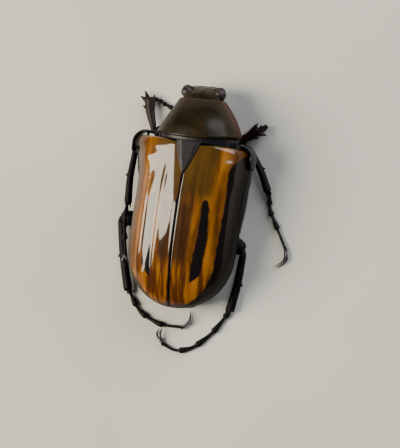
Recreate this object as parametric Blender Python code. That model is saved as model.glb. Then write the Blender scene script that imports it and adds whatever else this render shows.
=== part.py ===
"""Madagascan flower chafer, life size, resting on its belly with its legs as they dried.

Lengths are in millimetres and become metres when a mesh is made.  X points to the beetle's
right, Y to its head and Z up.  Y is measured from the tip of the wing cases, and the floor
is at Z = 0.
"""

import math
from bisect import bisect_right

import bmesh
import bpy
from mathutils import Vector

MM = 0.001

# Driving dimensions
GAP = 0.3                    # clearance between neighbouring plates
WALL = 0.55                  # thickness of a wing case
BODY_CENTRE = (1.31, 10.0)   # middle of the whole outline, legs included
VAULT_POWER = 2.3            # squareness of the arched back

ELYTRA_HALF = 6.1            # half width across the wing cases
APEX_Y = 0.12                # rear end of the wing cases
APEX_ROUND = 6.2             # length over which the rear rounds off
FRONT_Y = 18.1               # front edge of the wing cases at the scutellum
FRONT_BOW = 0.35             # how far that edge bows forward towards the shoulder
SHOULDER_Y = 17.3            # where the shoulder starts to round off
SHOULDER_HALF = 6.35
SHOULDER_ROUND = 0.9
SHIFT_FROM = 13.0            # from here forward both wing cases lie more and more to the left
SHOULDER_SHIFT = {-1: 0.5, 1: -0.25}
PLATE_START = {-1: 5.35, 1: 4.95}    # inner ends of the plates that hug the shoulders
SUTURE_HALF = GAP / 2

# Heights along the back, as (y, z) stations on a smooth line
CROWN_LINE = ((0.0, 5.1), (1.5, 6.1), (4.0, 7.2), (8.0, 8.05), (13.0, 8.4), (18.6, 8.0))
MARGIN_LINE = ((0.0, 4.1), (2.0, 3.6), (6.0, 3.35), (12.0, 3.5), (15.0, 3.85), (18.6, 4.1))
SIDE_LINE = ((6.2, ELYTRA_HALF), (10.5, 6.15), (13.6, 6.08), (16.4, SHOULDER_HALF))

SCUTELLUM_BASE = 18.3
SCUTELLUM_LENGTH = 3.2
SCUTELLUM_HALF = 1.25

PRONOTUM_REAR = 18.65        # rear edge on the midline
PRONOTUM_REAR_SWEEP = 0.55   # how far the rear corners lie forward of it
PRONOTUM_FRONT = 23.2
PRONOTUM_REAR_HALF = 4.85
PRONOTUM_FRONT_HALF = 2.57
PRONOTUM_CROWN = ((0.0, 8.05), (0.35, 7.75), (0.7, 6.85), (1.0, 5.55))
PRONOTUM_MARGIN = ((0.0, 4.0), (0.5, 3.95), (1.0, 4.0))
PRONOTUM_FLOOR = 3.55        # underside of the shield
PROTHORAX_TURN = math.radians(3.5)
# Shift to the right at lengths forward of its rear edge, for its slightly lopsided sides
PROTHORAX_LEAN = ((0.0, 0.0), (1.1, 0.08), (2.2, 0.12), (3.3, 0.06), (4.4, -0.1), (6.0, -0.13))
PROTHORAX_PIVOT = Vector((-3.5, 18.75, 0.0))

HEAD_REAR = PRONOTUM_FRONT + GAP
HEAD_TOP = 5.3
HEAD_DROOP = ((-0.3, 47.0), (0.8, 56.0), (2.0, 72.0), (3.3, 84.0))
HEAD_HALF = ((-0.3, 2.25), (0.8, 2.47), (1.6, 2.35), (2.3, 2.05), (2.95, 1.9), (3.3, 1.45))
HEAD_DEPTH = ((-0.3, 1.4), (0.8, 2.0), (1.6, 2.0), (2.3, 1.5), (2.95, 0.95), (3.3, 0.55))
HEAD_POWER = 3.0
EYE_RADIUS = 0.7
EYE_GAP = 0.2
EYE_CENTRE = Vector((1.88, 23.98, 3.95))

BELLY_HALF = 1.9             # half width of the flat that rests on the floor
SEAM_Y = 9.35                # middle of the seam between thorax and abdomen
THORAX_FRONT = 18.4
ABDOMEN_REAR = 1.35
VENTRITES = 5                # rings that show on the underside of the abdomen
VENTRITE_STEP = 0.12         # how far each ring is drawn in at its seam

CHITIN_BLACK = (0.012, 0.010, 0.014)
CHITIN_PRONOTUM = (0.030, 0.017, 0.010)
CHITIN_ELYTRA = (0.38, 0.145, 0.022)
CHITIN_RED = (0.045, 0.014, 0.010)
EYE_BROWN = (0.060, 0.030, 0.014)


# Shapes from a few stations
def line_value(at, stations):
    """Value at a place on a smooth line through (place, value) stations."""
    places = [station[0] for station in stations]
    values = [station[1] for station in stations]
    last = len(places) - 1
    at = min(max(at, places[0]), places[-1])
    low = min(max(bisect_right(places, at) - 1, 0), last - 1)

    def slope(index):
        before, after = max(index - 1, 0), min(index + 1, last)
        return (values[after] - values[before]) / (places[after] - places[before])

    span = places[low + 1] - places[low]
    t = (at - places[low]) / span
    rise = values[low + 1] - values[low]
    start, end = slope(low) * span, slope(low + 1) * span
    return values[low] + start * t + (3 * rise - 2 * start - end) * t ** 2 \
        + (start + end - 2 * rise) * t ** 3


def bend(points, count):
    """Evenly numbered points on a smooth path through the given ones."""
    nodes = [Vector(point) for point in points]
    axes = [[(index, node[axis]) for index, node in enumerate(nodes)] for axis in range(3)]
    steps = [index * (len(nodes) - 1) / (count - 1) for index in range(count)]
    return [Vector([line_value(step, axis) for axis in axes]) for step in steps]


def spread(low, high, count):
    """Values from low to high, closer together at both ends."""
    middle, reach = (low + high) / 2, (high - low) / 2
    return [middle - reach * math.cos(math.pi * index / (count - 1)) for index in range(count)]


def vault(half, crown, margin, angle, power=VAULT_POWER):
    """Point on the arch of a section: angle 0 at the crown, a quarter turn at the margin."""
    x = half * max(math.sin(angle), 0.0) ** (2 / power)
    z = margin + (crown - margin) * max(math.cos(angle), 0.0) ** (2 / power)
    return x, z


def vault_angle(half, x, power=VAULT_POWER):
    """Angle at which the arch has moved out by x."""
    return math.asin(min(x / half, 1.0) ** (power / 2))


# Meshes
def new_mesh(name, points, faces):
    """Closed mesh object from points in millimetres, faces turned outwards."""
    work = bmesh.new()
    vertices = [work.verts.new(Vector(point) * MM) for point in points]
    for face in faces:
        work.faces.new([vertices[index] for index in face])
    bmesh.ops.recalc_face_normals(work, faces=work.faces)
    mesh = bpy.data.meshes.new(name)
    work.to_mesh(mesh)
    work.free()
    piece = bpy.data.objects.new(name, mesh)
    bpy.context.scene.collection.objects.link(piece)
    return piece


def loft(name, rings):
    """Solid through closed rings of equal count, with a fan over each end."""
    count = len(rings[0])
    points = [point for ring in rings for point in ring]
    faces = []
    for ring in range(len(rings) - 1):
        for index in range(count):
            after = (index + 1) % count
            low, high = ring * count, (ring + 1) * count
            faces.append((low + index, low + after, high + after, high + index))
    for ring in (0, len(rings) - 1):
        middle = sum((Vector(point) for point in rings[ring]), Vector()) / count
        points.append(middle)
        for index in range(count):
            after = (index + 1) % count
            faces.append((ring * count + after, ring * count + index, len(points) - 1))
    return new_mesh(name, points, faces)


def shell(name, outer, inner):
    """Curved plate between two grids of points, closed along its four edges."""
    rows, columns = len(outer), len(outer[0])
    points = [point for grid in (outer, inner) for row in grid for point in row]
    lower = rows * columns

    def at(row, column):
        return row * columns + column

    faces = []
    for row in range(rows - 1):
        for column in range(columns - 1):
            patch = (at(row, column), at(row, column + 1),
                     at(row + 1, column + 1), at(row + 1, column))
            faces.append(patch)
            faces.append(tuple(index + lower for index in patch))
    edge = [at(0, column) for column in range(columns)]
    edge += [at(row, columns - 1) for row in range(1, rows)]
    edge += [at(rows - 1, column) for column in range(columns - 2, -1, -1)]
    edge += [at(row, 0) for row in range(rows - 2, 0, -1)]
    for index, corner in enumerate(edge):
        after = edge[(index + 1) % len(edge)]
        faces.append((corner, after, after + lower, corner + lower))
    return new_mesh(name, points, faces)


def limb(name, path, widths, heights, sides=8):
    """Tapered rod along a path; widths and heights are its half sizes at each point."""
    rings = []
    for index, point in enumerate(path):
        ahead = path[min(index + 1, len(path) - 1)]
        behind = path[max(index - 1, 0)]
        along = (ahead - behind).normalized()
        if index == 0:
            across = along.cross(Vector((0, 0, 1)))
        across = (across - along * across.dot(along)).normalized()
        upward = across.cross(along)
        ring = []
        for side in range(sides):
            angle = 2 * math.pi * (side + 0.5) / sides
            ring.append(point + across * (widths[index] * math.cos(angle))
                        + upward * (heights[index] * math.sin(angle)))
        rings.append(ring)
    return loft(name, rings)


def profile(shares, values, size):
    """Half sizes along a limb: the profile read at each share, times a size."""
    stations = tuple(values)
    return [size * line_value(share, stations) for share in shares]


def evaluated(piece):
    """The piece with its modifiers applied, keeping only its largest closed surface."""
    bpy.context.view_layer.update()
    graph = bpy.context.evaluated_depsgraph_get()
    mesh = bpy.data.meshes.new_from_object(piece.evaluated_get(graph))
    piece.modifiers.clear()
    work = bmesh.new()
    work.from_mesh(mesh)
    bmesh.ops.remove_doubles(work, verts=work.verts, dist=1e-6)
    bmesh.ops.dissolve_degenerate(work, edges=work.edges, dist=1e-6)
    islands, seen = [], set()
    for start in work.faces:
        if start in seen:
            continue
        island, queue = [], [start]
        seen.add(start)
        while queue:
            face = queue.pop()
            island.append(face)
            for edge in face.edges:
                for other in edge.link_faces:
                    if other not in seen:
                        seen.add(other)
                        queue.append(other)
        islands.append(island)
    islands.sort(key=lambda island: sum(face.calc_area() for face in island))
    scraps = [face for island in islands[:-1] for face in island]
    bmesh.ops.delete(work, geom=scraps, context="FACES")
    work.to_mesh(mesh)
    work.free()
    piece.data = mesh
    return piece


def combine(piece, others, operation):
    """Boolean of a piece with a collection of closed meshes, which it uses up."""
    if not others:
        return piece
    group = bpy.data.collections.new(piece.name + "_operands")
    bpy.context.scene.collection.children.link(group)
    for other in others:
        group.objects.link(other)
    boolean = piece.modifiers.new(operation.lower(), "BOOLEAN")
    boolean.operation = operation
    boolean.operand_type = "COLLECTION"
    boolean.collection = group
    boolean.solver = "EXACT"
    evaluated(piece)
    for other in others:
        bpy.data.objects.remove(other)
    bpy.data.collections.remove(group)
    return piece


def ball(name, centre, radius, across=14, down=9):
    """Sphere with its poles along Z."""
    rings = []
    for row in range(1, down):
        polar = math.pi * row / down
        ring = []
        for column in range(across):
            turn = 2 * math.pi * (column + 0.5) / across
            ring.append(centre + radius * Vector((math.sin(polar) * math.cos(turn),
                                                  math.sin(polar) * math.sin(turn),
                                                  math.cos(polar))))
        rings.append(ring)
    points = [point for ring in rings for point in ring]
    faces = []
    for row in range(len(rings) - 1):
        for column in range(across):
            after = (column + 1) % across
            low, high = row * across, (row + 1) * across
            faces.append((low + column, low + after, high + after, high + column))
    for ring, polar in ((0, 1.0), (len(rings) - 1, -1.0)):
        points.append(centre + Vector((0.0, 0.0, polar * radius)))
        for column in range(across):
            after = (column + 1) % across
            faces.append((ring * across + after, ring * across + column, len(points) - 1))
    return new_mesh(name, points, faces)


def spike(name, root, tip, radius, sides=5, blunt=0.25):
    """Straight tapered tooth from a root inside its carrier to a blunt tip."""
    root, tip = Vector(root), Vector(tip)
    sizes = [radius, radius * (1 + blunt) / 2, radius * blunt]
    return limb(name, [root, (root + tip) / 2, tip], sizes, sizes, sides)


def finish(piece, colour, roughness):
    """Own material, smooth shading and the shared parent."""
    surface = bpy.data.materials.new(piece.name + "_surface")
    surface.use_nodes = True
    shader = surface.node_tree.nodes["Principled BSDF"]
    shader.inputs["Base Color"].default_value = (*colour, 1.0)
    shader.inputs["Roughness"].default_value = roughness
    shader.inputs["Metallic"].default_value = 0.0
    piece.data.materials.clear()
    piece.data.materials.append(surface)
    piece.data.shade_smooth()
    piece.data.set_sharp_from_angle(angle=math.radians(50))
    piece.parent = bpy.data.objects["beetle"]
    return piece


def turned(point):
    """A point of the head or prothorax, which sit turned a little to the beetle's left."""
    offset = Vector(point) - PROTHORAX_PIVOT
    offset.x += line_value(offset.y, PROTHORAX_LEAN)
    cosine, sine = math.cos(PROTHORAX_TURN), math.sin(PROTHORAX_TURN)
    return PROTHORAX_PIVOT + Vector((offset.x * cosine - offset.y * sine,
                                     offset.x * sine + offset.y * cosine, offset.z))


# Wing cases and scutellum
def elytra_half(y):
    """Half width of the closed wing cases."""
    if y < APEX_ROUND:
        return ELYTRA_HALF * math.sqrt(1 - ((APEX_ROUND - y) / APEX_ROUND) ** 2)
    if y > SHOULDER_Y:
        share = (y - SHOULDER_Y) / SHOULDER_ROUND
        return SHOULDER_HALF - SHOULDER_ROUND * (1 - math.sqrt(max(1 - share ** 2, 0.0)))
    return line_value(y, SIDE_LINE)


def case_half(y, side):
    """Half width of one wing case, with its share of the shift at the shoulders."""
    share = min(max((y - SHIFT_FROM) / (SHOULDER_Y - SHIFT_FROM), 0.0), 1.0)
    return elytra_half(y) + SHOULDER_SHIFT[side] * share ** 4


def scutellum_half(y):
    """Half width of the scutellum, whose sides bow out slightly."""
    share = (SCUTELLUM_BASE - y) / SCUTELLUM_LENGTH
    return SCUTELLUM_HALF * max(1 - share, 0.0) ** 0.85


def front_bow(x, y):
    """Forward bow of the front edge, fading towards the rear."""
    fade = max((y - 13.0) / (FRONT_Y - 13.0), 0.0) ** 2
    return FRONT_BOW * min(abs(x) / 3.0, 1.0) ** 1.5 * fade


def elytra_point(y, angle, depth, side):
    """Point of a wing case at a depth below its surface, with x counted outwards."""
    half = case_half(y, side) - depth
    x, z = vault(half, line_value(y, CROWN_LINE) - depth, line_value(y, MARGIN_LINE), angle)
    return Vector((x, y + front_bow(x, y), z))


def inner_edge(y):
    """Distance of the wing case's inner edge from the midline."""
    if y > SCUTELLUM_BASE - SCUTELLUM_LENGTH:
        return max(scutellum_half(y) + GAP, SUTURE_HALF)
    return SUTURE_HALF


def make_elytron(side, word):
    rows = spread(APEX_Y, SCUTELLUM_BASE - SCUTELLUM_LENGTH, 15)
    rows += [rows[-1] + (FRONT_Y - rows[-1]) * share for share in (0.35, 0.65, 0.85, 1.0)]
    grids = []
    for depth in (0.0, WALL):
        grid = []
        for y in rows:
            start = vault_angle(case_half(y, side) - depth, inner_edge(y))
            angles = [start + (math.pi / 2 - start) * step / 11 for step in range(12)]
            row = [elytra_point(y, angle, depth, side) for angle in angles]
            grid.append([Vector((side * point.x, point.y, point.z)) for point in row])
        grids.append(grid)
    return finish(shell("elytron_" + word, *grids), CHITIN_ELYTRA, 0.22)


def make_scutellum():
    rings = []
    for step in range(8):
        y = SCUTELLUM_BASE - (SCUTELLUM_LENGTH - 0.05) * step / 7
        half = scutellum_half(y)
        crown = line_value(y, CROWN_LINE)
        top = [(half * share, y, crown + 0.06 * (1 - share ** 2)) for share in (-1, -0.5, 0, 0.5, 1)]
        below = [(half * share, y, crown - WALL) for share in (1, 0, -1)]
        rings.append(top + below)
    return finish(loft("scutellum", rings), CHITIN_BLACK, 0.25)


def make_mesepimeron(side, word):
    """Black plate that hugs the shoulder, between the shield and the wing case."""
    thick, low, high = 0.35, 3.2, 5.1
    radius = SHOULDER_ROUND + GAP + thick / 2
    centre = Vector((SHOULDER_HALF + SHOULDER_SHIFT[side] - SHOULDER_ROUND,
                     SHOULDER_Y + 0.7 * FRONT_BOW))
    ahead, beside = Vector((0.0, 1.0)), Vector((1.0, 0.0))
    path = [(Vector((PLATE_START[side], centre.y + radius)), ahead)]
    for step in range(6):
        angle = math.radians(90 - 18 * step)
        outward = Vector((math.cos(angle), math.sin(angle)))
        path.append((centre + outward * radius, outward))
    path.append((centre + Vector((radius - 0.03, -1.1)), beside))
    rings = []
    for (spot, outward), end in zip(path, (0.5, 0.85, 1.0, 1.0, 1.0, 1.0, 0.95, 0.45)):
        ring = []
        for share, z in ((-0.5, low), (0.5, low), (0.5, (low + high) / 2 + 0.3),
                         (0.1, high), (-0.5, high - 0.1)):
            reach = thick * share
            middle = (low + high) / 2
            ring.append((side * (spot.x + outward.x * reach), spot.y + outward.y * reach,
                         middle + (z - middle) * end))
        rings.append(ring)
    return finish(loft("mesepimeron_" + word, rings), CHITIN_BLACK, 0.3)


# Thorax and abdomen under the wing cases
THORAX_SIDE = ((9.6, 5.95), (12.0, 6.15), (14.5, 6.15), (16.5, 5.9), (17.8, 4.9), (18.4, 4.1))
THORAX_SIDE_LEVEL = ((9.6, 2.7), (13.0, 2.85), (18.4, 3.1))
THORAX_BELLY = ((9.6, 0.0), (16.2, 0.0), (17.2, 0.5), (18.0, 1.4), (18.4, 1.7))
THORAX_KEEL = ((9.6, BELLY_HALF), (13.5, 1.8), (15.0, 0.9), (16.4, 0.7), (18.4, 0.6))
ABDOMEN_SIDE = ((1.35, 3.2), (2.2, 4.3), (4.0, 5.25), (6.5, 5.75), (9.1, 5.9))
ABDOMEN_SIDE_LEVEL = ((1.35, 2.9), (4.0, 2.65), (9.1, 2.6))
ABDOMEN_BELLY = ((1.35, 0.9), (2.4, 0.25), (3.4, 0.0), (9.1, 0.0))
ABDOMEN_FLAT = ((1.35, 0.6), (3.4, 1.4), (9.1, BELLY_HALF))
PYGIDIUM_TOP = 3.55
PYGIDIUM_FOOT = 0.7
PYGIDIUM_HALF = 3.4


def hull_ring(y, side, side_level, belly, flat, groove):
    """Section of the trunk: round below, stepped in where it fits under the wing cases."""
    deck = case_half(y, 1) - WALL - GAP
    crown = line_value(y, CROWN_LINE) - WALL - GAP
    margin = line_value(y, MARGIN_LINE) - GAP
    side -= groove
    belly = max(belly, 0.0)
    half = [(0.0, belly)]
    for step in range(6):
        angle = math.pi / 2 * step / 5
        half.append((flat + (side - flat) * math.sin(angle) ** 0.9,
                     side_level - (side_level - belly) * math.cos(angle) ** 0.9))
    deck = min(deck, side - 0.1)
    half.append((deck, margin))
    for step in range(1, 6):
        x, z = vault(deck, crown, margin, math.pi / 2 * (1 - step / 6))
        half.append((x, z))
    half.append((0.0, crown))
    right = [(x, y, z) for x, z in half]
    left = [(-x, y, z) for x, z in reversed(half[1:-1])]
    return right + left


def make_thorax(cutters):
    rings = []
    for y in (SEAM_Y + GAP / 2, 11.0, 12.5, 13.8, 14.9, 15.8, 16.6, 17.3, 17.9, THORAX_FRONT):
        rings.append(hull_ring(y, line_value(y, THORAX_SIDE), line_value(y, THORAX_SIDE_LEVEL),
                               line_value(y, THORAX_BELLY), line_value(y, THORAX_KEEL), 0.0))
    trunk = combine(loft("thorax", rings), cutters, "DIFFERENCE")
    return finish(trunk, CHITIN_BLACK, 0.3)


def make_abdomen(cutters):
    rings = []
    front = SEAM_Y - GAP / 2
    length = (front - ABDOMEN_REAR) / VENTRITES
    for segment in range(VENTRITES):
        for share, groove in ((0.0, VENTRITE_STEP), (0.15, 0.0), (0.85, 0.0)):
            y = ABDOMEN_REAR + length * (segment + share)
            rings.append(hull_ring(y, line_value(y, ABDOMEN_SIDE),
                                   line_value(y, ABDOMEN_SIDE_LEVEL),
                                   line_value(y, ABDOMEN_BELLY),
                                   line_value(y, ABDOMEN_FLAT), groove))
    rings.append(hull_ring(front, line_value(front, ABDOMEN_SIDE),
                           line_value(front, ABDOMEN_SIDE_LEVEL), 0.0,
                           line_value(front, ABDOMEN_FLAT), VENTRITE_STEP))
    trunk = combine(loft("abdomen", rings), cutters, "DIFFERENCE")
    return finish(trunk, CHITIN_BLACK, 0.3)


def make_pygidium():
    """Bulging last plate that closes the rear under the tips of the wing cases."""
    middle, half_height = (PYGIDIUM_TOP + PYGIDIUM_FOOT) / 2, (PYGIDIUM_TOP - PYGIDIUM_FOOT) / 2
    rings = []
    for swell, back in ((0.97, 0.0), (1.0, 0.2), (0.9, 0.5), (0.65, 0.75), (0.25, 0.9)):
        ring = []
        for step in range(20):
            angle = 2 * math.pi * (step + 0.5) / 20
            cosine, sine = math.cos(angle), math.sin(angle)
            rise = math.copysign(abs(sine) ** 0.8, sine)
            width = PYGIDIUM_HALF * (0.72 + 0.28 * rise)
            x = width * math.copysign(abs(cosine) ** 0.8, cosine)
            ring.append((x * swell, ABDOMEN_REAR - GAP - back, middle + half_height * rise * swell))
        rings.append(ring)
    return finish(loft("pygidium", rings), CHITIN_BLACK, 0.3)


# Prothorax and head
def pronotum_half(share):
    """Half width of the shield from its rear edge (0) to its front edge (1)."""
    straight = PRONOTUM_REAR_HALF + (PRONOTUM_FRONT_HALF - PRONOTUM_REAR_HALF) * share
    return straight + 0.18 * math.sin(math.pi * share)


def make_pronotum():
    rings = []
    for share in (0.0, 0.06, 0.2, 0.4, 0.6, 0.8, 0.94, 1.0):
        half = pronotum_half(share)
        crown = line_value(share, PRONOTUM_CROWN)
        margin = line_value(share, PRONOTUM_MARGIN)
        ring = []
        for step in range(-8, 9):
            angle = math.pi / 2 * abs(step) / 8
            x, z = vault(half, crown, margin, angle)
            rear = PRONOTUM_REAR + PRONOTUM_REAR_SWEEP * (x / PRONOTUM_REAR_HALF) ** 2
            y = rear + (PRONOTUM_FRONT - rear) * share
            ring.append((math.copysign(x, step), y, z))
        for step in (2, 1, 0, -1, -2):
            x = half * 0.94 * step / 2
            rear = PRONOTUM_REAR + PRONOTUM_REAR_SWEEP * (x / PRONOTUM_REAR_HALF) ** 2
            ring.append((x, rear + (PRONOTUM_FRONT - rear) * share, PRONOTUM_FLOOR))
        rings.append([turned(point) for point in ring])
    return finish(loft("pronotum", rings), CHITIN_PRONOTUM, 0.3)


def make_prosternum(cutters):
    """Underside of the prothorax, with the hollows that the fore legs lie in."""
    rings = []
    for share in (0.0, 0.12, 0.35, 0.6, 0.85, 0.97):
        half = pronotum_half(share) * 0.93
        rear = PRONOTUM_REAR + 0.05
        y = rear + (PRONOTUM_FRONT - 0.1 - rear) * share
        keel = 1.15 + 1.3 * share ** 1.3
        top = PRONOTUM_FLOOR - GAP
        ring = [(x * half, y, top) for x in (-1, -0.5, 0, 0.5, 1)]
        for step in range(1, 10):
            angle = math.pi * step / 10
            ring.append((half * math.cos(angle), y,
                         top - 0.35 - (top - 0.35 - keel) * math.sin(angle)))
        rings.append([turned(point) for point in ring])
    plate = combine(loft("prosternum", rings), cutters, "DIFFERENCE")
    return finish(plate, CHITIN_BLACK, 0.35)


def head_point(along, x, depth):
    """Point of the head at a distance down its arched face, and a depth behind it."""
    steps = 24
    y, z = HEAD_REAR, HEAD_TOP
    for step in range(steps):
        droop = math.radians(line_value(along * (step + 0.5) / steps, HEAD_DROOP))
        y += along / steps * math.cos(droop)
        z -= along / steps * math.sin(droop)
    droop = math.radians(line_value(along, HEAD_DROOP))
    return turned((x, y - depth * math.sin(droop), z - depth * math.cos(droop)))


def neck_cutter():
    """Block whose front face leaves the back of the head flat against the shield."""
    rings = []
    for y in (HEAD_REAR - 4.0, HEAD_REAR):
        corners = ((-4.0, 0.0), (4.0, 0.0), (4.0, 8.0), (-4.0, 8.0))
        rings.append([turned((x, y, z)) for x, z in corners])
    return loft("neck", rings)


def make_head():
    rings = []
    for along in (-0.3, 0.3, 0.9, 1.4, 1.9, 2.35, 2.8, 3.1, 3.3):
        half = line_value(along, HEAD_HALF)
        depth = line_value(along, HEAD_DEPTH)
        ring = []
        for step in range(20):
            angle = 2 * math.pi * (step + 0.5) / 20
            cosine, sine = math.cos(angle), math.sin(angle)
            x = half * math.copysign(abs(cosine) ** (2 / HEAD_POWER), cosine)
            rise = math.copysign(abs(sine) ** (2 / HEAD_POWER), sine)
            ring.append(head_point(along, x, depth / 2 * (1 - rise)))
        rings.append(ring)
    cutters = [neck_cutter()]
    for side in (-1, 1):
        centre = turned((side * EYE_CENTRE.x, EYE_CENTRE.y, EYE_CENTRE.z))
        cutters.append(ball("socket", centre, EYE_RADIUS + EYE_GAP))
    return finish(combine(loft("head", rings), cutters, "DIFFERENCE"), CHITIN_PRONOTUM, 0.35)


def make_eye(side, word):
    centre = turned((side * EYE_CENTRE.x, EYE_CENTRE.y, EYE_CENTRE.z))
    return finish(ball("eye_" + word, centre, EYE_RADIUS), EYE_BROWN, 0.2)


def make_antenna(side, word):
    """Elbowed feeler folded back under the cheek, its three leaves closed to an oval club."""
    joints = ((1.15, 24.2, 1.85), (1.45, 24.3, 1.8), (1.6, 23.95, 1.6), (1.5, 23.45, 1.42),
              (1.48, 22.85, 1.37), (1.45, 22.2, 1.35))
    path = bend([turned((side * x, y, z)) for x, y, z in joints], 16)
    stem = [0.2, 0.27, 0.31, 0.26, 0.25, 0.27, 0.25, 0.25, 0.27, 0.24]
    club = [0.34, 0.46, 0.52, 0.5, 0.4, 0.2]
    return finish(limb("antenna_" + word, path, stem + club, stem + club, 8), CHITIN_RED, 0.35)


def make_mouthparts():
    """Chin plate and the pair of palps under the front of the head."""
    rings = []
    for y, half in ((23.5, 0.5), (23.65, 0.75), (24.1, 0.7), (24.35, 0.45)):
        rings.append([turned(point) for point in
                      ((-half, y, 1.95), (half, y, 1.95), (half, y, 1.65),
                       (half * 0.6, y, 1.4), (-half * 0.6, y, 1.4), (-half, y, 1.65))])
    palps = []
    for side in (-1, 1):
        path = bend([turned((side * x, y, z)) for x, y, z in
                     ((0.55, 23.9, 1.65), (0.8, 24.3, 1.6), (0.75, 24.7, 1.65))], 6)
        palps.append(limb("palp", path, [0.25, 0.27, 0.25, 0.27, 0.27, 0.14],
                          [0.22, 0.25, 0.25, 0.26, 0.26, 0.14], 6))
    return finish(combine(loft("mouthparts", rings), palps, "UNION"), CHITIN_RED, 0.4)


# Legs: places of the joints of each, in the pose the beetle dried in
LEGS = {
    "fore_left": {
        "pair": "fore", "coxa": (-1.2, 20.6, 1.75), "hip": (-2.15, 20.3, 1.35),
        "knee": (-6.25, 18.9, 1.15), "ankle": (-7.55, 22.75, 0.75),
        "foot": ((-6.6, 22.65, 0.4), (-6.0, 22.4, 0.34), (-5.0, 22.05, 0.34),
                 (-4.0, 22.0, 0.34)),
        "claws": ((-3.2, 22.15, 0.32), (-2.75, 22.6, 0.3)), "splay": 0},
    "fore_right": {
        "pair": "fore", "coxa": (0.85, 20.6, 1.75), "hip": (1.5, 20.9, 1.35),
        "knee": (3.15, 19.0, 1.3), "ankle": (5.85, 21.15, 1.45),
        "foot": ((6.15, 21.4, 1.4), (6.4, 21.5, 0.85), (6.0, 21.2, 0.34), (5.2, 20.5, 0.34),
                 (4.5, 19.9, 0.34)),
        "claws": ((3.95, 19.35, 0.32), (3.75, 18.85, 0.3)), "splay": 0},
    "middle_left": {
        "pair": "middle", "coxa": (-1.25, 14.6, 0.76), "hip": (-2.8, 15.2, 0.78),
        "knee": (-8.1, 16.95, 1.15), "ankle": (-7.75, 10.75, 1.7),
        "foot": ((-7.7, 10.35, 1.95), (-7.6, 8.6, 2.1), (-7.3, 6.9, 2.1),
                 (-7.0, 5.2, 2.0)),
        "claws": ((-6.9, 4.25, 1.95), (-6.45, 3.6, 1.7)), "splay": 0},
    "middle_right": {
        "pair": "middle", "coxa": (1.25, 14.6, 0.76), "hip": (2.6, 15.5, 0.78),
        "knee": (5.1, 19.0, 1.1), "ankle": (7.85, 14.5, 0.75),
        "foot": ((8.0, 14.05, 0.4), (8.35, 12.5, 0.34), (9.3, 10.9, 0.34),
                 (10.75, 8.6, 0.4)),
        "claws": ((11.0, 7.2, 0.5), (9.85, 6.2, 0.45)), "splay": 75},
    "hind_left": {
        "pair": "hind", "coxa": (-1.15, 9.5, 0.76), "hip": (-3.3, 9.2, 0.78),
        "knee": (-8.55, 9.0, 1.05), "ankle": (-6.4, 1.25, 0.75),
        "foot": ((-6.0, 0.6, 0.4), (-4.6, -1.1, 0.34), (-2.2, -2.08, 0.34),
                 (0.3, -2.05, 0.4)),
        "claws": ((1.25, -1.1, 0.5), (1.27, 0.0, 0.45)), "splay": 75},
    "hind_right": {
        "pair": "hind", "coxa": (1.15, 9.5, 0.76), "hip": (2.7, 9.1, 0.78),
        "knee": (6.35, 7.55, 1.05), "ankle": (5.8, 0.65, 0.75),
        "foot": ((5.25, -0.1, 0.4), (4.1, -2.0, 0.34), (2.2, -3.95, 0.34),
                 (0.3, -4.7, 0.34), (-1.15, -4.3, 0.34)),
        "claws": ((-2.05, -3.35, 0.4), (-1.9, -2.5, 0.35)), "splay": 30},
}

FOOT_JOINTS = 5
CLAW_SPREAD = 0.28           # half the distance between the two claws of a foot

# Half sizes of each pair of legs, and its teeth and spurs
PAIRS = {
    "fore": {"femur": (0.75, 0.58), "tibia_knee": 0.34, "tibia_ankle": 0.66,
             "tibia_high": 0.3, "foot": 0.28, "teeth": (0.64, 0.98), "tooth": 0.4,
             "tooth_lean": 0.5, "spurs": (0.35,)},
    "middle": {"femur": (0.78, 0.62), "tibia_knee": 0.32, "tibia_ankle": 0.45,
               "tibia_high": 0.34, "foot": 0.31, "teeth": (0.42,), "tooth": 0.38,
               "tooth_lean": 0.22, "spurs": (0.8, 0.65)},
    "hind": {"femur": (0.92, 0.62), "tibia_knee": 0.38, "tibia_ankle": 0.52,
             "tibia_high": 0.38, "foot": 0.33, "teeth": (0.48,), "tooth": 0.38,
             "tooth_lean": 0.22, "spurs": (0.8, 0.65)},
}


def shortened(start, end, before, after):
    """Two points, each drawn in along the line that joins them."""
    start, end = Vector(start), Vector(end)
    along = (end - start).normalized()
    return start + along * before, end - along * after


def coxa_piece(name, leg, margin=0.0):
    start, end = shortened(leg["coxa"], leg["hip"], -0.45, 0.35 - margin)
    sizes = [size + margin for size in (0.45, 0.66, 0.7, 0.5)]
    return limb(name, bend((start, (start + end) / 2, end), 4), sizes, sizes)


def femur_piece(name, leg, margin=0.0):
    wide, high = PAIRS[leg["pair"]]["femur"]
    start, end = shortened(leg["hip"], leg["knee"], -margin, 0.2 - margin)
    shares = [step / 6 for step in range(7)]
    shape = ((0.0, 0.5), (0.25, 0.9), (0.5, 1.0), (0.8, 0.85), (1.0, 0.55))
    widths = [size + margin for size in profile(shares, shape, wide)]
    heights = [size + margin for size in profile(shares, shape, high)]
    return limb(name, bend((start, (start + end) / 2, end), 7), widths, heights)


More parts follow.
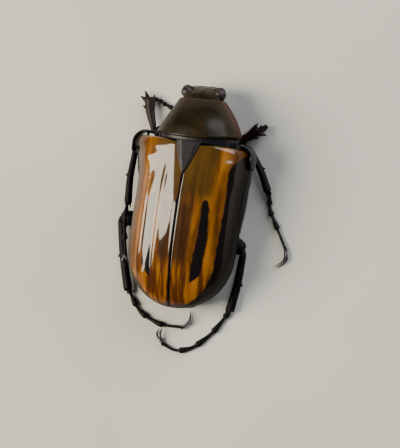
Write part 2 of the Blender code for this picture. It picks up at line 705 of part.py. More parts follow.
def tibia_piece(name, leg):
    sizes = PAIRS[leg["pair"]]
    outward = -1 if leg["knee"][0] < 0 else 1
    knee, ankle = Vector(leg["knee"]), Vector(leg["ankle"])
    start, end = shortened(knee, ankle, 0.75, 0.0)
    along = (end - start).normalized()
    sideways = Vector((along.y, -along.x, 0.0)).normalized()
    sideways *= math.copysign(1.0, sideways.x * outward)
    shares = [step / 6 for step in range(7)]
    width = [sizes["tibia_knee"] + (sizes["tibia_ankle"] - sizes["tibia_knee"]) * share ** 1.4
             for share in shares]
    height = [sizes["tibia_high"] * (0.95 if step in (0, 6) else 1.0) for step in range(7)]
    path = bend((start, (start + end) / 2 + sideways * 0.12, end), 7)
    body = limb(name, path, width, height)
    extras = []
    lean = sizes["tooth_lean"]
    for share in sizes["teeth"]:
        spot = start + (end - start) * share
        half = sizes["tibia_knee"] + (sizes["tibia_ankle"] - sizes["tibia_knee"]) * share ** 1.4
        extras.append(spike("tooth", spot + sideways * (half - 0.3) - along * 0.25,
                            spot + sideways * (half + sizes["tooth"]) + along * lean, 0.3))
    if leg["pair"] == "fore":
        extras.append(spike("tooth", end - along * 0.3 + sideways * 0.15,
                            end + along * 0.95 + sideways * 0.42, 0.34))
    for spur, length in enumerate(sizes["spurs"]):
        offset = -sideways * (sizes["tibia_ankle"] - 0.2 - 0.35 * spur)
        extras.append(spike("spur", end - along * 0.3 + offset,
                            end + along * length + offset * 1.5, 0.25))
    return finish(combine(body, extras, "UNION"), CHITIN_RED if leg["pair"] == "fore"
                  else CHITIN_BLACK, 0.3)


def tarsus_piece(name, leg):
    """Joints in a row, each widening to its end, the last one slender."""
    wide = PAIRS[leg["pair"]]["foot"]
    swell = (0.75, 0.9, 1.15)
    path = bend(leg["foot"], len(swell) * FOOT_JOINTS + 1)
    last_joint = len(swell) * (FOOT_JOINTS - 1)
    sizes = [wide * (swell[index % 3] if index < last_joint else 0.8)
             for index in range(len(path))]
    heights = [min(size, point.z) for size, point in zip(sizes, path)]
    return finish(limb(name, path, sizes, heights, 6), CHITIN_BLACK, 0.35)


def claws_piece(name, leg):
    """Pair of hooked claws that spread from a short base beyond the last joint."""
    before, last = Vector(leg["foot"][-2]), Vector(leg["foot"][-1])
    start = last + (last - before).normalized() * GAP
    middle, tip = [Vector(point) for point in leg["claws"]]
    toward = (middle - start).normalized()
    sizes = [0.2, 0.26, 0.26, 0.18]
    base = limb(name, bend((start, start + toward * 0.22, start + toward * 0.44), 4),
                sizes, sizes, 6)
    reach = tip - start
    splay = math.radians(leg["splay"])
    spread = Vector((reach.y, -reach.x, 0.0)).normalized() * math.cos(splay)
    spread.z = math.sin(splay)
    sizes = [0.16, 0.22, 0.22, 0.2, 0.16, 0.11, 0.06]
    claws = []
    for side in (-1, 1):
        path = bend((start + toward * 0.2 + spread * side * 0.06,
                     middle + spread * side * CLAW_SPREAD,
                     tip + spread * side * CLAW_SPREAD), len(sizes))
        heights = [min(size, point.z) for size, point in zip(sizes, path)]
        claws.append(limb("claw", path, sizes, heights, 5))
    return finish(combine(base, claws, "UNION"), CHITIN_RED, 0.3)


def leg_cutters(words, margin=GAP):
    """Room for the coxae and femora of the named legs."""
    cutters = []
    for word in words:
        cutters.append(coxa_piece("cutter", LEGS[word], margin))
        cutters.append(femur_piece("cutter", LEGS[word], margin))
    return cutters


def make_legs():
    for word, leg in LEGS.items():
        finish(coxa_piece(f"coxa_{word}", leg), CHITIN_BLACK, 0.35)
        finish(femur_piece(f"femur_{word}", leg), CHITIN_BLACK, 0.3)
        tibia_piece(f"tibia_{word}", leg)
        tarsus_piece(f"tarsus_{word}", leg)
        claws_piece(f"claws_{word}", leg)


def build():
    for leftover in list(bpy.data.objects):
        bpy.data.objects.remove(leftover)
    beetle = bpy.data.objects.new("beetle", None)
    bpy.context.scene.collection.objects.link(beetle)

    make_scutellum()
    make_thorax(leg_cutters(("middle_left", "middle_right", "hind_left", "hind_right")))
    make_abdomen(leg_cutters(("hind_left", "hind_right")))
    make_pygidium()
    make_pronotum()
    make_prosternum(leg_cutters(("fore_left", "fore_right")))
    make_head()
    make_mouthparts()
    for side, word in ((-1, "left"), (1, "right")):
        make_elytron(side, word)
        make_mesepimeron(side, word)
        make_eye(side, word)
        make_antenna(side, word)
    make_legs()
    beetle.location = (-BODY_CENTRE[0] * MM, -BODY_CENTRE[1] * MM, 0.0)


build()
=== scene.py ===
"""Dry Madagascan flower chafer at life size: its looks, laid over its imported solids."""
import math
import random

import bmesh
import bpy
from mathutils import Matrix, Vector


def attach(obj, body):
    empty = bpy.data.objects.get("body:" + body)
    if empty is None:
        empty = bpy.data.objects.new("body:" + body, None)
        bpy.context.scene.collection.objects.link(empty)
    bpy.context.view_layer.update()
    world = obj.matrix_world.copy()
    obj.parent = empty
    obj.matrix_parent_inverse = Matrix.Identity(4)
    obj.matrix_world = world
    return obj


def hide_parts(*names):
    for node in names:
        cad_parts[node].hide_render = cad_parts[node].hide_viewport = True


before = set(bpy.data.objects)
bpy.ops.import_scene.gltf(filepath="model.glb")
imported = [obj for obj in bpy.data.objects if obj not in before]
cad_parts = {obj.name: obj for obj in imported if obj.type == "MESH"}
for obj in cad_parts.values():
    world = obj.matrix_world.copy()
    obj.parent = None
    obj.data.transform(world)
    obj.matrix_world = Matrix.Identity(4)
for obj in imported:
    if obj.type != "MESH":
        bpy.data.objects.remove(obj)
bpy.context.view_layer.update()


# The trunk is the black box that carries everything: a thorax of fused plates in front and the
# ringed abdomen behind it.  It is chitin a tenth of a millimetre thick, laid down in one with its
# pits and seams while the beetle is soft, and then hardened to a glossy black skin.
MM = 0.001
MIDDLE = Vector((1.31, 10.0, 0.0))      # middle of the outline, which is the frame's origin
GAP = 0.3                    # clearance between neighbouring plates
WALL = 0.55                  # depth of the trunk's deck below the back of the wing cases
VAULT_POWER = 2.3            # squareness of the arched back
ELYTRA_HALF = 6.1            # half width across the wing cases
APEX_ROUND = 6.2             # length over which the rear rounds off
SHOULDER_Y = 17.3            # where the shoulder starts to round off
SHOULDER_HALF = 6.35
SHOULDER_ROUND = 0.9
SHIFT_FROM = 13.0            # from here forward both wing cases lie more and more to the left
SHOULDER_SHIFT = {-1: 0.5, 1: -0.25}
# Lines of (y, size or height), y counted forward from the rear end; FLAT is half the belly's width
CROWN_LINE = ((0.0, 5.1), (1.5, 6.1), (4.0, 7.2), (8.0, 8.05), (13.0, 8.4), (18.6, 8.0))
MARGIN_LINE = ((0.0, 4.1), (2.0, 3.6), (6.0, 3.35), (12.0, 3.5), (15.0, 3.85), (18.6, 4.1))
SIDE_LINE = ((6.2, ELYTRA_HALF), (10.5, 6.15), (13.6, 6.08), (16.4, SHOULDER_HALF))
SEAM_Y = 9.35                # seam between thorax and abdomen
THORAX_SIDE = ((9.6, 5.95), (12.0, 6.15), (14.5, 6.15), (16.5, 5.9), (17.8, 4.9), (18.4, 4.1))
THORAX_LEVEL = ((9.6, 2.7), (13.0, 2.85), (18.4, 3.1))
THORAX_BELLY = ((9.6, 0.0), (16.2, 0.0), (17.2, 0.5), (18.0, 1.4), (18.4, 1.7))
THORAX_FLAT = ((9.6, 1.9), (13.5, 1.8), (15.0, 0.9), (16.4, 0.7), (18.4, 0.6))
ABDOMEN_REAR = 1.35
ABDOMEN_SIDE = ((1.35, 3.2), (2.2, 4.3), (4.0, 5.25), (6.5, 5.75), (9.1, 5.9))
ABDOMEN_LEVEL = ((1.35, 2.9), (4.0, 2.65), (9.1, 2.6))
ABDOMEN_BELLY = ((1.35, 0.9), (2.4, 0.25), (3.4, 0.0), (9.1, 0.0))
ABDOMEN_FLAT = ((1.35, 0.6), (3.4, 1.4), (9.1, 1.9))
VENTRITES = 5                # rings that show on the underside of the abdomen
COLLAR_Y = 18.42             # from here a collar of joint skin reaches into the shield
COLLAR_RISE = 0.35
COLLAR_FLARE = 0.5
THORAX_END = 19.4
GROOVE_MIDDLE = 12.6         # of the groove along the underside of the thorax
GROOVE_LENGTH = 2.4          # from its middle to each end
GROOVE_DEPTH = 0.12
SEAM_DEPTH = 0.13            # of the seams between the rings of the abdomen
TRUNK_AXIS = 3.2             # height towards which the legs hollow the trunk
COXA_HOLLOW = 0.72
THIGH_HOLLOW = 0.82

# Joints of each leg, from the coxa in the trunk to the tips of the claws, and the angle in degrees
# by which its pair of claws is turned up on edge
LEGS = {
    "fore_left": {
        "pair": "fore", "coxa": (-1.2, 20.6, 1.75), "hip": (-2.15, 20.3, 1.35),
        "knee": (-6.25, 18.9, 1.15), "ankle": (-7.55, 22.75, 0.75),
        "foot": ((-6.6, 22.65, 0.4), (-6.0, 22.4, 0.34), (-5.0, 22.05, 0.34),
                 (-4.0, 22.0, 0.34)),
        "claws": ((-3.2, 22.15, 0.32), (-2.75, 22.6, 0.3)), "splay": 0},
    "fore_right": {
        "pair": "fore", "coxa": (0.85, 20.6, 1.75), "hip": (1.5, 20.9, 1.35),
        "knee": (3.15, 19.0, 1.3), "ankle": (5.85, 21.15, 1.45),
        "foot": ((6.15, 21.4, 1.4), (6.4, 21.5, 0.85), (6.0, 21.2, 0.34), (5.2, 20.5, 0.34),
                 (4.5, 19.9, 0.34)),
        "claws": ((3.95, 19.35, 0.32), (3.75, 18.85, 0.3)), "splay": 0},
    "middle_left": {
        "pair": "middle", "coxa": (-1.25, 14.6, 0.76), "hip": (-2.8, 15.2, 0.78),
        "knee": (-8.1, 16.95, 1.15), "ankle": (-7.75, 10.75, 1.7),
        "foot": ((-7.7, 10.35, 1.95), (-7.6, 8.6, 2.1), (-7.3, 6.9, 2.1),
                 (-7.0, 5.2, 2.0)),
        "claws": ((-6.9, 4.25, 1.95), (-6.45, 3.6, 1.7)), "splay": 0},
    "middle_right": {
        "pair": "middle", "coxa": (1.25, 14.6, 0.76), "hip": (2.6, 15.5, 0.78),
        "knee": (5.1, 19.0, 1.1), "ankle": (7.85, 14.5, 0.75),
        "foot": ((8.0, 14.05, 0.4), (8.35, 12.5, 0.34), (9.3, 10.9, 0.34),
                 (10.75, 8.6, 0.4)),
        "claws": ((11.0, 7.2, 0.5), (9.85, 6.2, 0.45)), "splay": 75},
    "hind_left": {
        "pair": "hind", "coxa": (-1.15, 9.5, 0.76), "hip": (-3.3, 9.2, 0.78),
        "knee": (-8.49, 9.0, 1.05), "ankle": (-6.4, 1.25, 0.75),
        "foot": ((-6.0, 0.6, 0.4), (-4.6, -1.1, 0.34), (-2.2, -2.08, 0.34),
                 (0.3, -2.05, 0.4)),
        "claws": ((1.25, -1.1, 0.5), (1.27, 0.0, 0.45)), "splay": 75},
    "hind_right": {
        "pair": "hind", "coxa": (1.15, 9.5, 0.76), "hip": (2.7, 9.1, 0.78),
        "knee": (6.35, 7.55, 1.05), "ankle": (5.8, 0.65, 0.75),
        "foot": ((5.25, -0.1, 0.4), (4.1, -2.0, 0.34), (2.2, -3.95, 0.34),
                 (0.3, -4.7, 0.34), (-1.15, -4.3, 0.34)),
        "claws": ((-2.05, -3.35, 0.4), (-1.9, -2.5, 0.35)), "splay": 30},
}


def line_value(at, stations):
    """Value at a place on a smooth line through (place, value) stations."""
    places = [station[0] for station in stations]
    values = [station[1] for station in stations]
    last = len(places) - 1
    at = min(max(at, places[0]), places[-1])
    low = 0
    while low < last - 1 and at >= places[low + 1]:
        low += 1

    def slope(index):
        before, after = max(index - 1, 0), min(index + 1, last)
        return (values[after] - values[before]) / (places[after] - places[before])

    span = places[low + 1] - places[low]
    t = (at - places[low]) / span
    rise = values[low + 1] - values[low]
    start, end = slope(low) * span, slope(low + 1) * span
    return values[low] + start * t + (3 * rise - 2 * start - end) * t ** 2 \
        + (start + end - 2 * rise) * t ** 3


def steps(low, high, count):
    """Evenly spaced values from low to high, both included."""
    return [low + (high - low) * index / (count - 1) for index in range(count)]


def kept(value):
    """Value kept between 0 and 1."""
    return min(max(value, 0.0), 1.0)


def hump(distance, reach):
    """Smooth hump: 1 at no distance, falling away over the reach."""
    return math.exp(-(distance / reach) ** 2)


def circle(count):
    """Cosine and sine of evenly spaced turns."""
    turns = [2 * math.pi * step / count for step in range(count)]
    return [(math.cos(turn), math.sin(turn)) for turn in turns]


def squared(value, power=0.8):
    """Cosine or sine drawn out towards a corner by a power below 1."""
    return math.copysign(abs(value) ** power, value)


def vault(half, crown, margin, angle):
    """Point on the arch of a section: angle 0 at the crown, a quarter turn at the margin."""
    x = half * max(math.sin(angle), 0.0) ** (2 / VAULT_POWER)
    z = margin + (crown - margin) * max(math.cos(angle), 0.0) ** (2 / VAULT_POWER)
    return x, z


def elytra_half(y):
    """Half width of the closed wing cases."""
    if y < APEX_ROUND:
        return ELYTRA_HALF * math.sqrt(1 - ((APEX_ROUND - y) / APEX_ROUND) ** 2)
    if y > SHOULDER_Y:
        share = (y - SHOULDER_Y) / SHOULDER_ROUND
        return SHOULDER_HALF - SHOULDER_ROUND * (1 - math.sqrt(max(1 - share ** 2, 0.0)))
    return line_value(y, SIDE_LINE)


def case_half(y, side):
    """Half width of one wing case, with its share of the shift at the shoulders."""
    share = kept((y - SHIFT_FROM) / (SHOULDER_Y - SHIFT_FROM))
    return elytra_half(y) + SHOULDER_SHIFT[side] * share ** 4


def in_scene(name, data):
    """New object of a mesh, light or camera, linked to the scene."""
    made = bpy.data.objects.new(name, data)
    bpy.context.scene.collection.objects.link(made)
    return made


def skin(name, rings, wrap=True, caps=True):
    """Smooth mesh over rows of points in the beetle's millimetres."""
    count = len(rings[0])
    points = [Vector(point) for ring in rings for point in ring]
    faces = []
    for row in range(len(rings) - 1):
        for column in range(count if wrap else count - 1):
            after = (column + 1) % count
            low, high = row * count, (row + 1) * count
            faces.append((low + column, low + after, high + after, high + column))
    if caps:
        for row in (0, len(rings) - 1):
            points.append(sum((Vector(point) for point in rings[row]), Vector()) / count)
            for column in range(count):
                after = (column + 1) % count
                faces.append((row * count + after, row * count + column, len(points) - 1))
    mesh = bpy.data.meshes.new(name)
    mesh.from_pydata([(point - MIDDLE) * MM for point in points], [], faces)
    work = bmesh.new()
    work.from_mesh(mesh)
    bmesh.ops.recalc_face_normals(work, faces=work.faces)
    work.to_mesh(mesh)
    work.free()
    mesh.shade_smooth()
    return in_scene(name, mesh)


def linear(code):
    """Linear colour from an sRGB hex code."""
    parts = [int(code[index:index + 2], 16) / 255 for index in (1, 3, 5)]
    return (*[part / 12.92 if part <= 0.04045 else ((part + 0.055) / 1.055) ** 2.4
              for part in parts], 1.0)


def add_node(tree, kind, feeds=None, stations=(), **settings):
    """Shader node with its settings, what feeds its sockets, and the points of its line or ramp.

    What feeds a socket is a value, another socket, or a node, for its first output.
    """
    made = tree.nodes.new("ShaderNode" + kind)
    for name, value in settings.items():
        setattr(made, name, value)
    for socket, source in (feeds or {}).items():
        if isinstance(source, bpy.types.Node):
            source = source.outputs[0]
        if isinstance(source, bpy.types.NodeSocket):
            tree.links.new(source, made.inputs[socket])
        else:
            made.inputs[socket].default_value = source
    if kind == "FloatCurve":
        points = made.mapping.curves[0].points
        points[0].location, points[1].location = stations[0], stations[-1]
        for station in stations[1:-1]:
            points.new(*station)
        made.mapping.update()
    if kind == "ValToRGB":
        made.color_ramp.elements[0].position, made.color_ramp.elements[0].color = stations[0]
        made.color_ramp.elements[1].position, made.color_ramp.elements[1].color = stations[-1]
        for place, colour in stations[1:-1]:
            made.color_ramp.elements.new(place).color = colour
    return made


def new_surface(name, **sockets):
    """Material, its tree and shader, and the place on the beetle in its own millimetres."""
    surface = bpy.data.materials.new(name)
    surface.use_nodes = True
    tree = surface.node_tree
    shader = tree.nodes["Principled BSDF"]
    for socket, value in sockets.items():
        shader.inputs[socket.replace("_", " ")].default_value = value
    where = add_node(tree, "TexCoord").outputs["Object"]
    place = add_node(tree, "Mapping", {
        "Vector": where, "Location": MIDDLE, "Scale": (1 / MM, 1 / MM, 1 / MM)})
    return surface, tree, shader, place.outputs[0]


def pitted(tree, shader, where, apart, depth, ripple=0.0):
    """Round pits a set distance apart, with a faint unevenness between them, as bump."""
    cells = add_node(tree, "TexVoronoi", {"Vector": where, "Scale": 1 / apart})
    pits = add_node(tree, "MapRange", {
        0: cells.outputs["Distance"], 1: 0.08, 2: 0.34, 3: 0.0, 4: 1.0},
        interpolation_type="SMOOTHSTEP")
    swell = add_node(tree, "TexNoise", {"Vector": where, "Scale": 1.6, "Detail": 3.0})
    height = add_node(tree, "Math", {0: swell, 1: ripple, 2: pits}, operation="MULTIPLY_ADD")
    bump = add_node(tree, "Bump", {"Height": height, "Strength": 0.6, "Distance": depth * MM})
    tree.links.new(bump.outputs[0], shader.inputs["Normal"])


def clouded(name, tones, wear, noise, **sockets):
    """Chitin whose tone and gloss change together in soft clouds; noise is their scale and more."""
    surface, tree, shader, where = new_surface(name, **{"IOR": 1.56, "Coat_IOR": 1.5, **sockets})
    clouds = add_node(tree, "TexNoise", {"Vector": where, "Detail": 4.0, **noise})
    tone = add_node(tree, "ValToRGB", {0: clouds}, [(at, linear(code)) for at, code in tones])
    gloss = add_node(tree, "MapRange", {0: clouds, 3: wear[0], 4: wear[1]})
    tree.links.new(tone.outputs[0], shader.inputs["Base Color"])
    tree.links.new(gloss.outputs[0], shader.inputs["Roughness"])
    return surface, tree, shader, where, clouds, tone


def shell(name, tones, wear, noise, pits, **sockets):
    """Clouded chitin with pits."""
    surface, tree, shader, where, _, _ = clouded(name, tones, wear, noise, **sockets)
    pitted(tree, shader, where, **pits)
    return surface


def fit(piece, nodes, surface):
    """Give a piece its surface and let it stand for the solids that it dresses."""
    piece.data.materials.clear()
    piece.data.materials.append(surface)
    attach(piece, "root")
    if nodes:
        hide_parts(*nodes)
    return piece


def hollowed(point, words):
    """Point of the trunk drawn in towards its middle where a thigh or coxa lies against it."""
    point = Vector(point)
    inward = (Vector((0.0, point.y, TRUNK_AXIS)) - point).normalized()
    for word in words:
        leg = LEGS[word]
        for start, end, radius in ((leg["coxa"], leg["hip"], COXA_HOLLOW),
                                   (leg["hip"], leg["knee"], THIGH_HOLLOW)):
            start, end = Vector(start), Vector(end)
            along = end - start
            share = kept((point - start).dot(along) / along.length_squared)
            short = radius - (point - start - along * share).length
            if short > 0:
                point += inward * short
    return point


def trunk_ring(y, side, level, belly, flat, seam):
    """Section of the trunk: round below, stepped in where it fits under the wing cases."""
    collar = kept((y - COLLAR_Y) / 0.1)
    deck = case_half(min(y, SHOULDER_Y + 0.8), 1) - WALL
    crown = line_value(y, CROWN_LINE) - WALL + COLLAR_RISE * collar
    margin = line_value(y, MARGIN_LINE) - 0.1
    belly = max(belly, 0.0)
    side -= seam
    half = [(x, belly + 0.5 * seam) for x in steps(0.0, flat, 7)]
    for angle in steps(0.0, math.pi / 2, 26)[1:]:
        half.append((flat + (side - flat) * math.sin(angle) ** 0.9,
                     level - (level - belly - 0.5 * seam) * math.cos(angle) ** 0.9))
    deck = min(deck, side - 0.1) + COLLAR_FLARE * collar
    for angle in steps(math.pi / 2, 0.0, 22):
        half.append(vault(deck, crown, margin, angle))
    return [(x, y, z) for x, z in half] + [(-x, y, z) for x, z in reversed(half[1:-1])]


# Hardened black chitin: nearly black, browner in clouds, under a thin waxy gloss
chitin_black = shell(
    "hardened_black_chitin", ((0.32, "#09080b"), (0.55, "#131018"), (0.75, "#1f1611")), (0.28, 0.5),
    {"Scale": 0.9}, {"apart": 0.24, "depth": 0.016, "ripple": 0.8}, Specular_IOR_Level=0.2,
    Coat_Weight=0.16, Coat_Roughness=0.2)

rings = []
for y in steps(SEAM_Y, COLLAR_Y, 60) + steps(COLLAR_Y + 0.03, THORAX_END, 24):
    ring = trunk_ring(y, line_value(y, THORAX_SIDE), line_value(y, THORAX_LEVEL),
                      line_value(y, THORAX_BELLY), line_value(y, THORAX_FLAT), 0.0)
    groove = GROOVE_DEPTH * kept(3 - 3 * abs(y - GROOVE_MIDDLE) / GROOVE_LENGTH)
    grooved = [(x, y, z + (groove * hump(x, 0.14) if z < 1.0 else 0.0)) for x, _, z in ring]
    rings.append([hollowed(point, ("middle_left", "middle_right", "hind_left", "hind_right"))
                  for point in grooved])
fit(skin("thorax_plates", rings), ["thorax"], chitin_black)

# Side plates that show beside the wing cases, where these curve in behind the shoulders.
# The left one is drawn out over the dark strip beside its wing case, which is partly shade:
# there its black is partly painted shade
SIDE_PLATE_AND_SHADE_REACH = {
    -1: ((11.4, 5.75), (12.5, 6.1), (13.8, 6.5), (15.2, 6.85), (16.2, 7.0), (17.1, 6.95),
         (17.9, 6.6), (18.4, 6.0), (18.8, 5.2)),
    1: ((11.4, 5.7), (12.5, 5.95), (13.8, 6.2), (15.2, 6.35), (16.2, 6.3), (17.1, 6.2),
        (17.9, 5.85), (18.4, 5.3), (18.8, 4.6)),
}
SIDE_PLATE_FROM, SIDE_PLATE_LENGTH = 11.4, 7.4
SIDE_PLATE_THICK, SIDE_PLATE_TALL = 0.6, 0.75       # half of each
SIDE_PLATE_LEVEL, SIDE_PLATE_CLIMB = 3.0, 0.35      # height of its middle, and how much it climbs
for side, word in ((-1, "left"), (1, "right")):
    rings = []
    for share in steps(0.0, 1.0, 40):
        y = SIDE_PLATE_FROM + SIDE_PLATE_LENGTH * share
        reach = line_value(y, SIDE_PLATE_AND_SHADE_REACH[side]) - SIDE_PLATE_THICK
        middle = SIDE_PLATE_LEVEL + SIDE_PLATE_CLIMB * share
        end = max(math.sin(math.pi * (0.03 + 0.94 * share)), 0.0) ** 0.6
        rings.append([(side * (reach + SIDE_PLATE_THICK * squared(cosine) * end), y,
                       middle + SIDE_PLATE_TALL * squared(sine) * end) for cosine, sine in circle(28)])
    fit(skin(f"thorax_side_and_shade_{word}", rings), [], chitin_black)

rings = []
ventrite = (SEAM_Y - ABDOMEN_REAR) / VENTRITES
for y in steps(ABDOMEN_REAR, SEAM_Y, 91):
    to_seam = abs((y - ABDOMEN_REAR) / ventrite - round((y - ABDOMEN_REAR) / ventrite)) * ventrite
    seam = SEAM_DEPTH * hump(to_seam, 0.1)
    ring = trunk_ring(y, line_value(y, ABDOMEN_SIDE), line_value(y, ABDOMEN_LEVEL),
                      line_value(y, ABDOMEN_BELLY), line_value(y, ABDOMEN_FLAT), seam)
    rings.append([hollowed(point, ("hind_left", "hind_right")) for point in ring])
fit(skin("abdomen_rings", rings), ["abdomen"], chitin_black)


# The pygidium is the last plate of the abdomen.  It is a bulging triangle of black chitin that
# closes the rear below the tips of the wing cases, and is pitted like the rest of the trunk.
PYGIDIUM_TOP = 3.55
PYGIDIUM_FOOT = 0.7
PYGIDIUM_HALF = 3.4
PYGIDIUM_BULGE = 0.95
middle, half_height = (PYGIDIUM_TOP + PYGIDIUM_FOOT) / 2, (PYGIDIUM_TOP - PYGIDIUM_FOOT) / 2
rings = []
for share in [-0.3, -0.12] + steps(0.0, 1.0, 14):
    swell = math.cos(share * math.pi / 2 * 0.96) ** 0.55 if share >= 0 else 0.93
    y = ABDOMEN_REAR + 0.1 - GAP - PYGIDIUM_BULGE * math.sin(share * math.pi / 2)
    ring = []
    for cosine, sine in circle(48):
        width = PYGIDIUM_HALF * (0.72 + 0.28 * squared(sine)) * squared(cosine)
        ring.append((width * swell, y, middle + half_height * squared(sine) * swell))
    rings.append(ring)
fit(skin("pygidium_plate", rings), ["pygidium"], chitin_black)


# A leg is a chain of hollow chitin tubes with soft skin at the bends: a coxa seated in the trunk,
# a short trochanter, the thigh, a toothed shin with a spur or two, five foot joints, two claws.
# Shins are ribbed, and stiff bristles stand in rows inside them and under the smooth thighs.
FOOT_JOINTS = (0.17, 0.33, 0.48, 0.64)    # shares of the foot's length at which its joints end
THIGH_OVAL, THIGH_BLUNT = 0.035, 0.02     # how far its sections differ from an ellipse
SHIN_RIB = 0.035             # height of the shin's ribs, as a share of its radius
FLOOR_CLEAR = 0.004          # nothing of a limb lies lower
CLAW_SPREAD = 0.26           # half the distance between the two claws of a foot
FINE, MEDIUM, STOUT = 0.02, 0.022, 0.03   # radii of bristles at their roots
BRISTLE_DROOP = 0.1          # how far a bristle's tip hangs, as a share of its length
BAKE_CORNER, BAKE_SPAN = (-15, -8), (30, 36)      # x and y of the area laid over the bake image
BAKE_PATCH = 0.003           # side of the patch that the faces of one bristle share on it
SEED = 7
# Radii of the two legs of a pair: thigh across and upright, shin at knee and ankle and upright,
# foot; then where on the shin its teeth stand, their reach and lean, and the reach of the spurs
PAIRS = {
    "fore": {"femur": (0.75, 0.58), "knee": 0.34, "ankle": 0.66, "high": 0.3, "foot": 0.27,
             "teeth": (0.64, 0.98), "tooth": 0.4, "lean": 0.5, "spurs": (0.35,)},
    "middle": {"femur": (0.78, 0.62), "knee": 0.32, "ankle": 0.45, "high": 0.34, "foot": 0.3,
               "teeth": (0.42,), "tooth": 0.38, "lean": 0.22, "spurs": (0.8, 0.65)},
    "hind": {"femur": (0.92, 0.62), "knee": 0.38, "ankle": 0.52, "high": 0.38, "foot": 0.32,
             "teeth": (0.48,), "tooth": 0.38, "lean": 0.22, "spurs": (0.8, 0.65)},
}


def bend(points, count):
    """Evenly numbered points on a smooth path through the given ones."""
    axes = [[(index, point[axis]) for index, point in enumerate(points)] for axis in range(3)]
    return [Vector([line_value(step, axis) for axis in axes])
            for step in steps(0.0, len(points) - 1, count)]


def limb_rings(path, widths, heights, sides=20, form=None):
    """Rings round a path, their frame carried along it, none below the floor."""
    rings, across = [], None
    last = len(path) - 1
    for index, point in enumerate(path):
        along = (path[min(index + 1, last)] - path[max(index - 1, 0)]).normalized()
        if across is None:
            across = along.cross(Vector((0, 0, 1)))
        across = (across - along * across.dot(along)).normalized()
        upward = across.cross(along)
        ring = []
        for side in range(sides):
            angle = 2 * math.pi * side / sides
            swell = form(angle, index / last) if form else 1.0
            spot = point + across * (widths[index] * swell * math.cos(angle)) \
                + upward * (heights[index] * swell * math.sin(angle))
            spot.z = max(spot.z, FLOOR_CLEAR)
            ring.append(spot)
        rings.append(ring)
    return rings


def spike_rings(root, tip, radius, sag=0.0):
    """Rings of a tapered tooth or spur that may sag a little on its way to the tip."""
    root, tip = Vector(root), Vector(tip)
    middle = (root + tip) / 2 + Vector((0.0, 0.0, sag))
    sizes = [radius * share for share in (1.0, 0.93, 0.82, 0.68, 0.5, 0.3, 0.1)]
    return limb_rings(bend((root, middle, tip), len(sizes)), sizes, sizes, 12)


def grown(name, forms, grain=0.05, rounds=4):
    """One skin grown over several forms, so that they run into each other as living ones do."""
    piece = skin(name, forms[0])
    work = bmesh.new()
    work.from_mesh(piece.data)
    for rings in forms[1:]:
        other = skin("form", rings)
        work.from_mesh(other.data)
        bpy.data.objects.remove(other)
    work.transform(Matrix.Scale(1 / MM, 4))
    work.to_mesh(piece.data)
    work.free()
    weld = piece.modifiers.new("weld", "REMESH")
    weld.mode = "VOXEL"
    weld.voxel_size = grain
    relax = piece.modifiers.new("relax", "SMOOTH")
    relax.factor = 0.5
    relax.iterations = rounds
    bpy.context.view_layer.update()
    mesh = bpy.data.meshes.new_from_object(
        piece.evaluated_get(bpy.context.evaluated_depsgraph_get()))
    piece.modifiers.clear()
    mesh.transform(Matrix.Scale(MM, 4))
    mesh.shade_smooth()
    piece.data = mesh
    return piece


def bristles(name, roots, surface):
    """Stiff tapered hairs from (root, direction, length, radius), bent a little by their weight."""
    points, faces, places = [], [], []
    for root, direction, length, radius in roots:
        direction = direction.normalized()
        across = direction.cross(Vector((0.31, 0.17, 0.94))).normalized()
        upward = direction.cross(across)
        first = len(points)
        for share, thick in ((0.0, 1.0), (0.55, 0.75)):
            centre = root + direction * length * share
            centre.z -= BRISTLE_DROOP * length * share ** 2
            points += [centre + (across * cosine + upward * sine) * radius * thick
                       for cosine, sine in circle(3)]
        points.append(root + direction * length - Vector((0, 0, BRISTLE_DROOP * length)))
        for corner in range(3):
            after = (corner + 1) % 3
            faces.append((first + corner, first + after, first + 3 + after, first + 3 + corner))
            faces.append((first + 3 + corner, first + 3 + after, first + 6))
        places += [[(at - low) / span for at, low, span in zip(root, BAKE_CORNER, BAKE_SPAN)]] * 6
    for point in points:
        point.z = max(point.z, FLOOR_CLEAR)
    mesh = bpy.data.meshes.new(name)
    mesh.from_pydata([(point - MIDDLE) * MM for point in points], [], faces)
    patch = mesh.uv_layers.new(name="OFBake")
    corners = ((0.0, 0.0), (BAKE_PATCH, 0.0), (BAKE_PATCH, BAKE_PATCH), (0.0, BAKE_PATCH))
    for face, (u, v) in zip(mesh.polygons, places):
        for corner, loop in enumerate(face.loop_indices):
            patch.data[loop].uv = (u + corners[corner][0], v + corners[corner][1])
    mesh.shade_smooth()
    return fit(in_scene(name, mesh), [], surface)


# Chitin left red-brown: darker in patches, with a satin shine that shows its fine pits
chitin_red = shell(
    "red_brown_chitin_satin", ((0.3, "#10090b"), (0.55, "#1d0e0c"), (0.75, "#33180e")), (0.38, 0.58),
    {"Scale": 1.4}, {"apart": 0.22, "depth": 0.012, "ripple": 0.7}, Specular_IOR_Level=0.15,
    Coat_Weight=0.06, Coat_Roughness=0.3)
# Leg chitin: black and satin rather than glossy, a little browner in patches
chitin_leg = shell(
    "leg_black_chitin_satin", ((0.32, "#060509"), (0.55, "#0b0910"), (0.75, "#17100c")), (0.4, 0.6),
    {"Scale": 1.2}, {"apart": 0.22, "depth": 0.012, "ripple": 0.8}, Specular_IOR_Level=0.09,
    Coat_Weight=0.02, Coat_Roughness=0.25)
# Claw horn: dense, smooth and violet black, shining brightest of all parts of the leg
horn = clouded(
    "claw_horn_polished", ((0.35, "#100c16"), (0.7, "#291a2c")), (0.18, 0.36),
    {"Scale": 2.2, "Detail": 3.0}, Coat_Weight=0.4, Coat_Roughness=0.12)[0]
chance = random.Random(SEED)


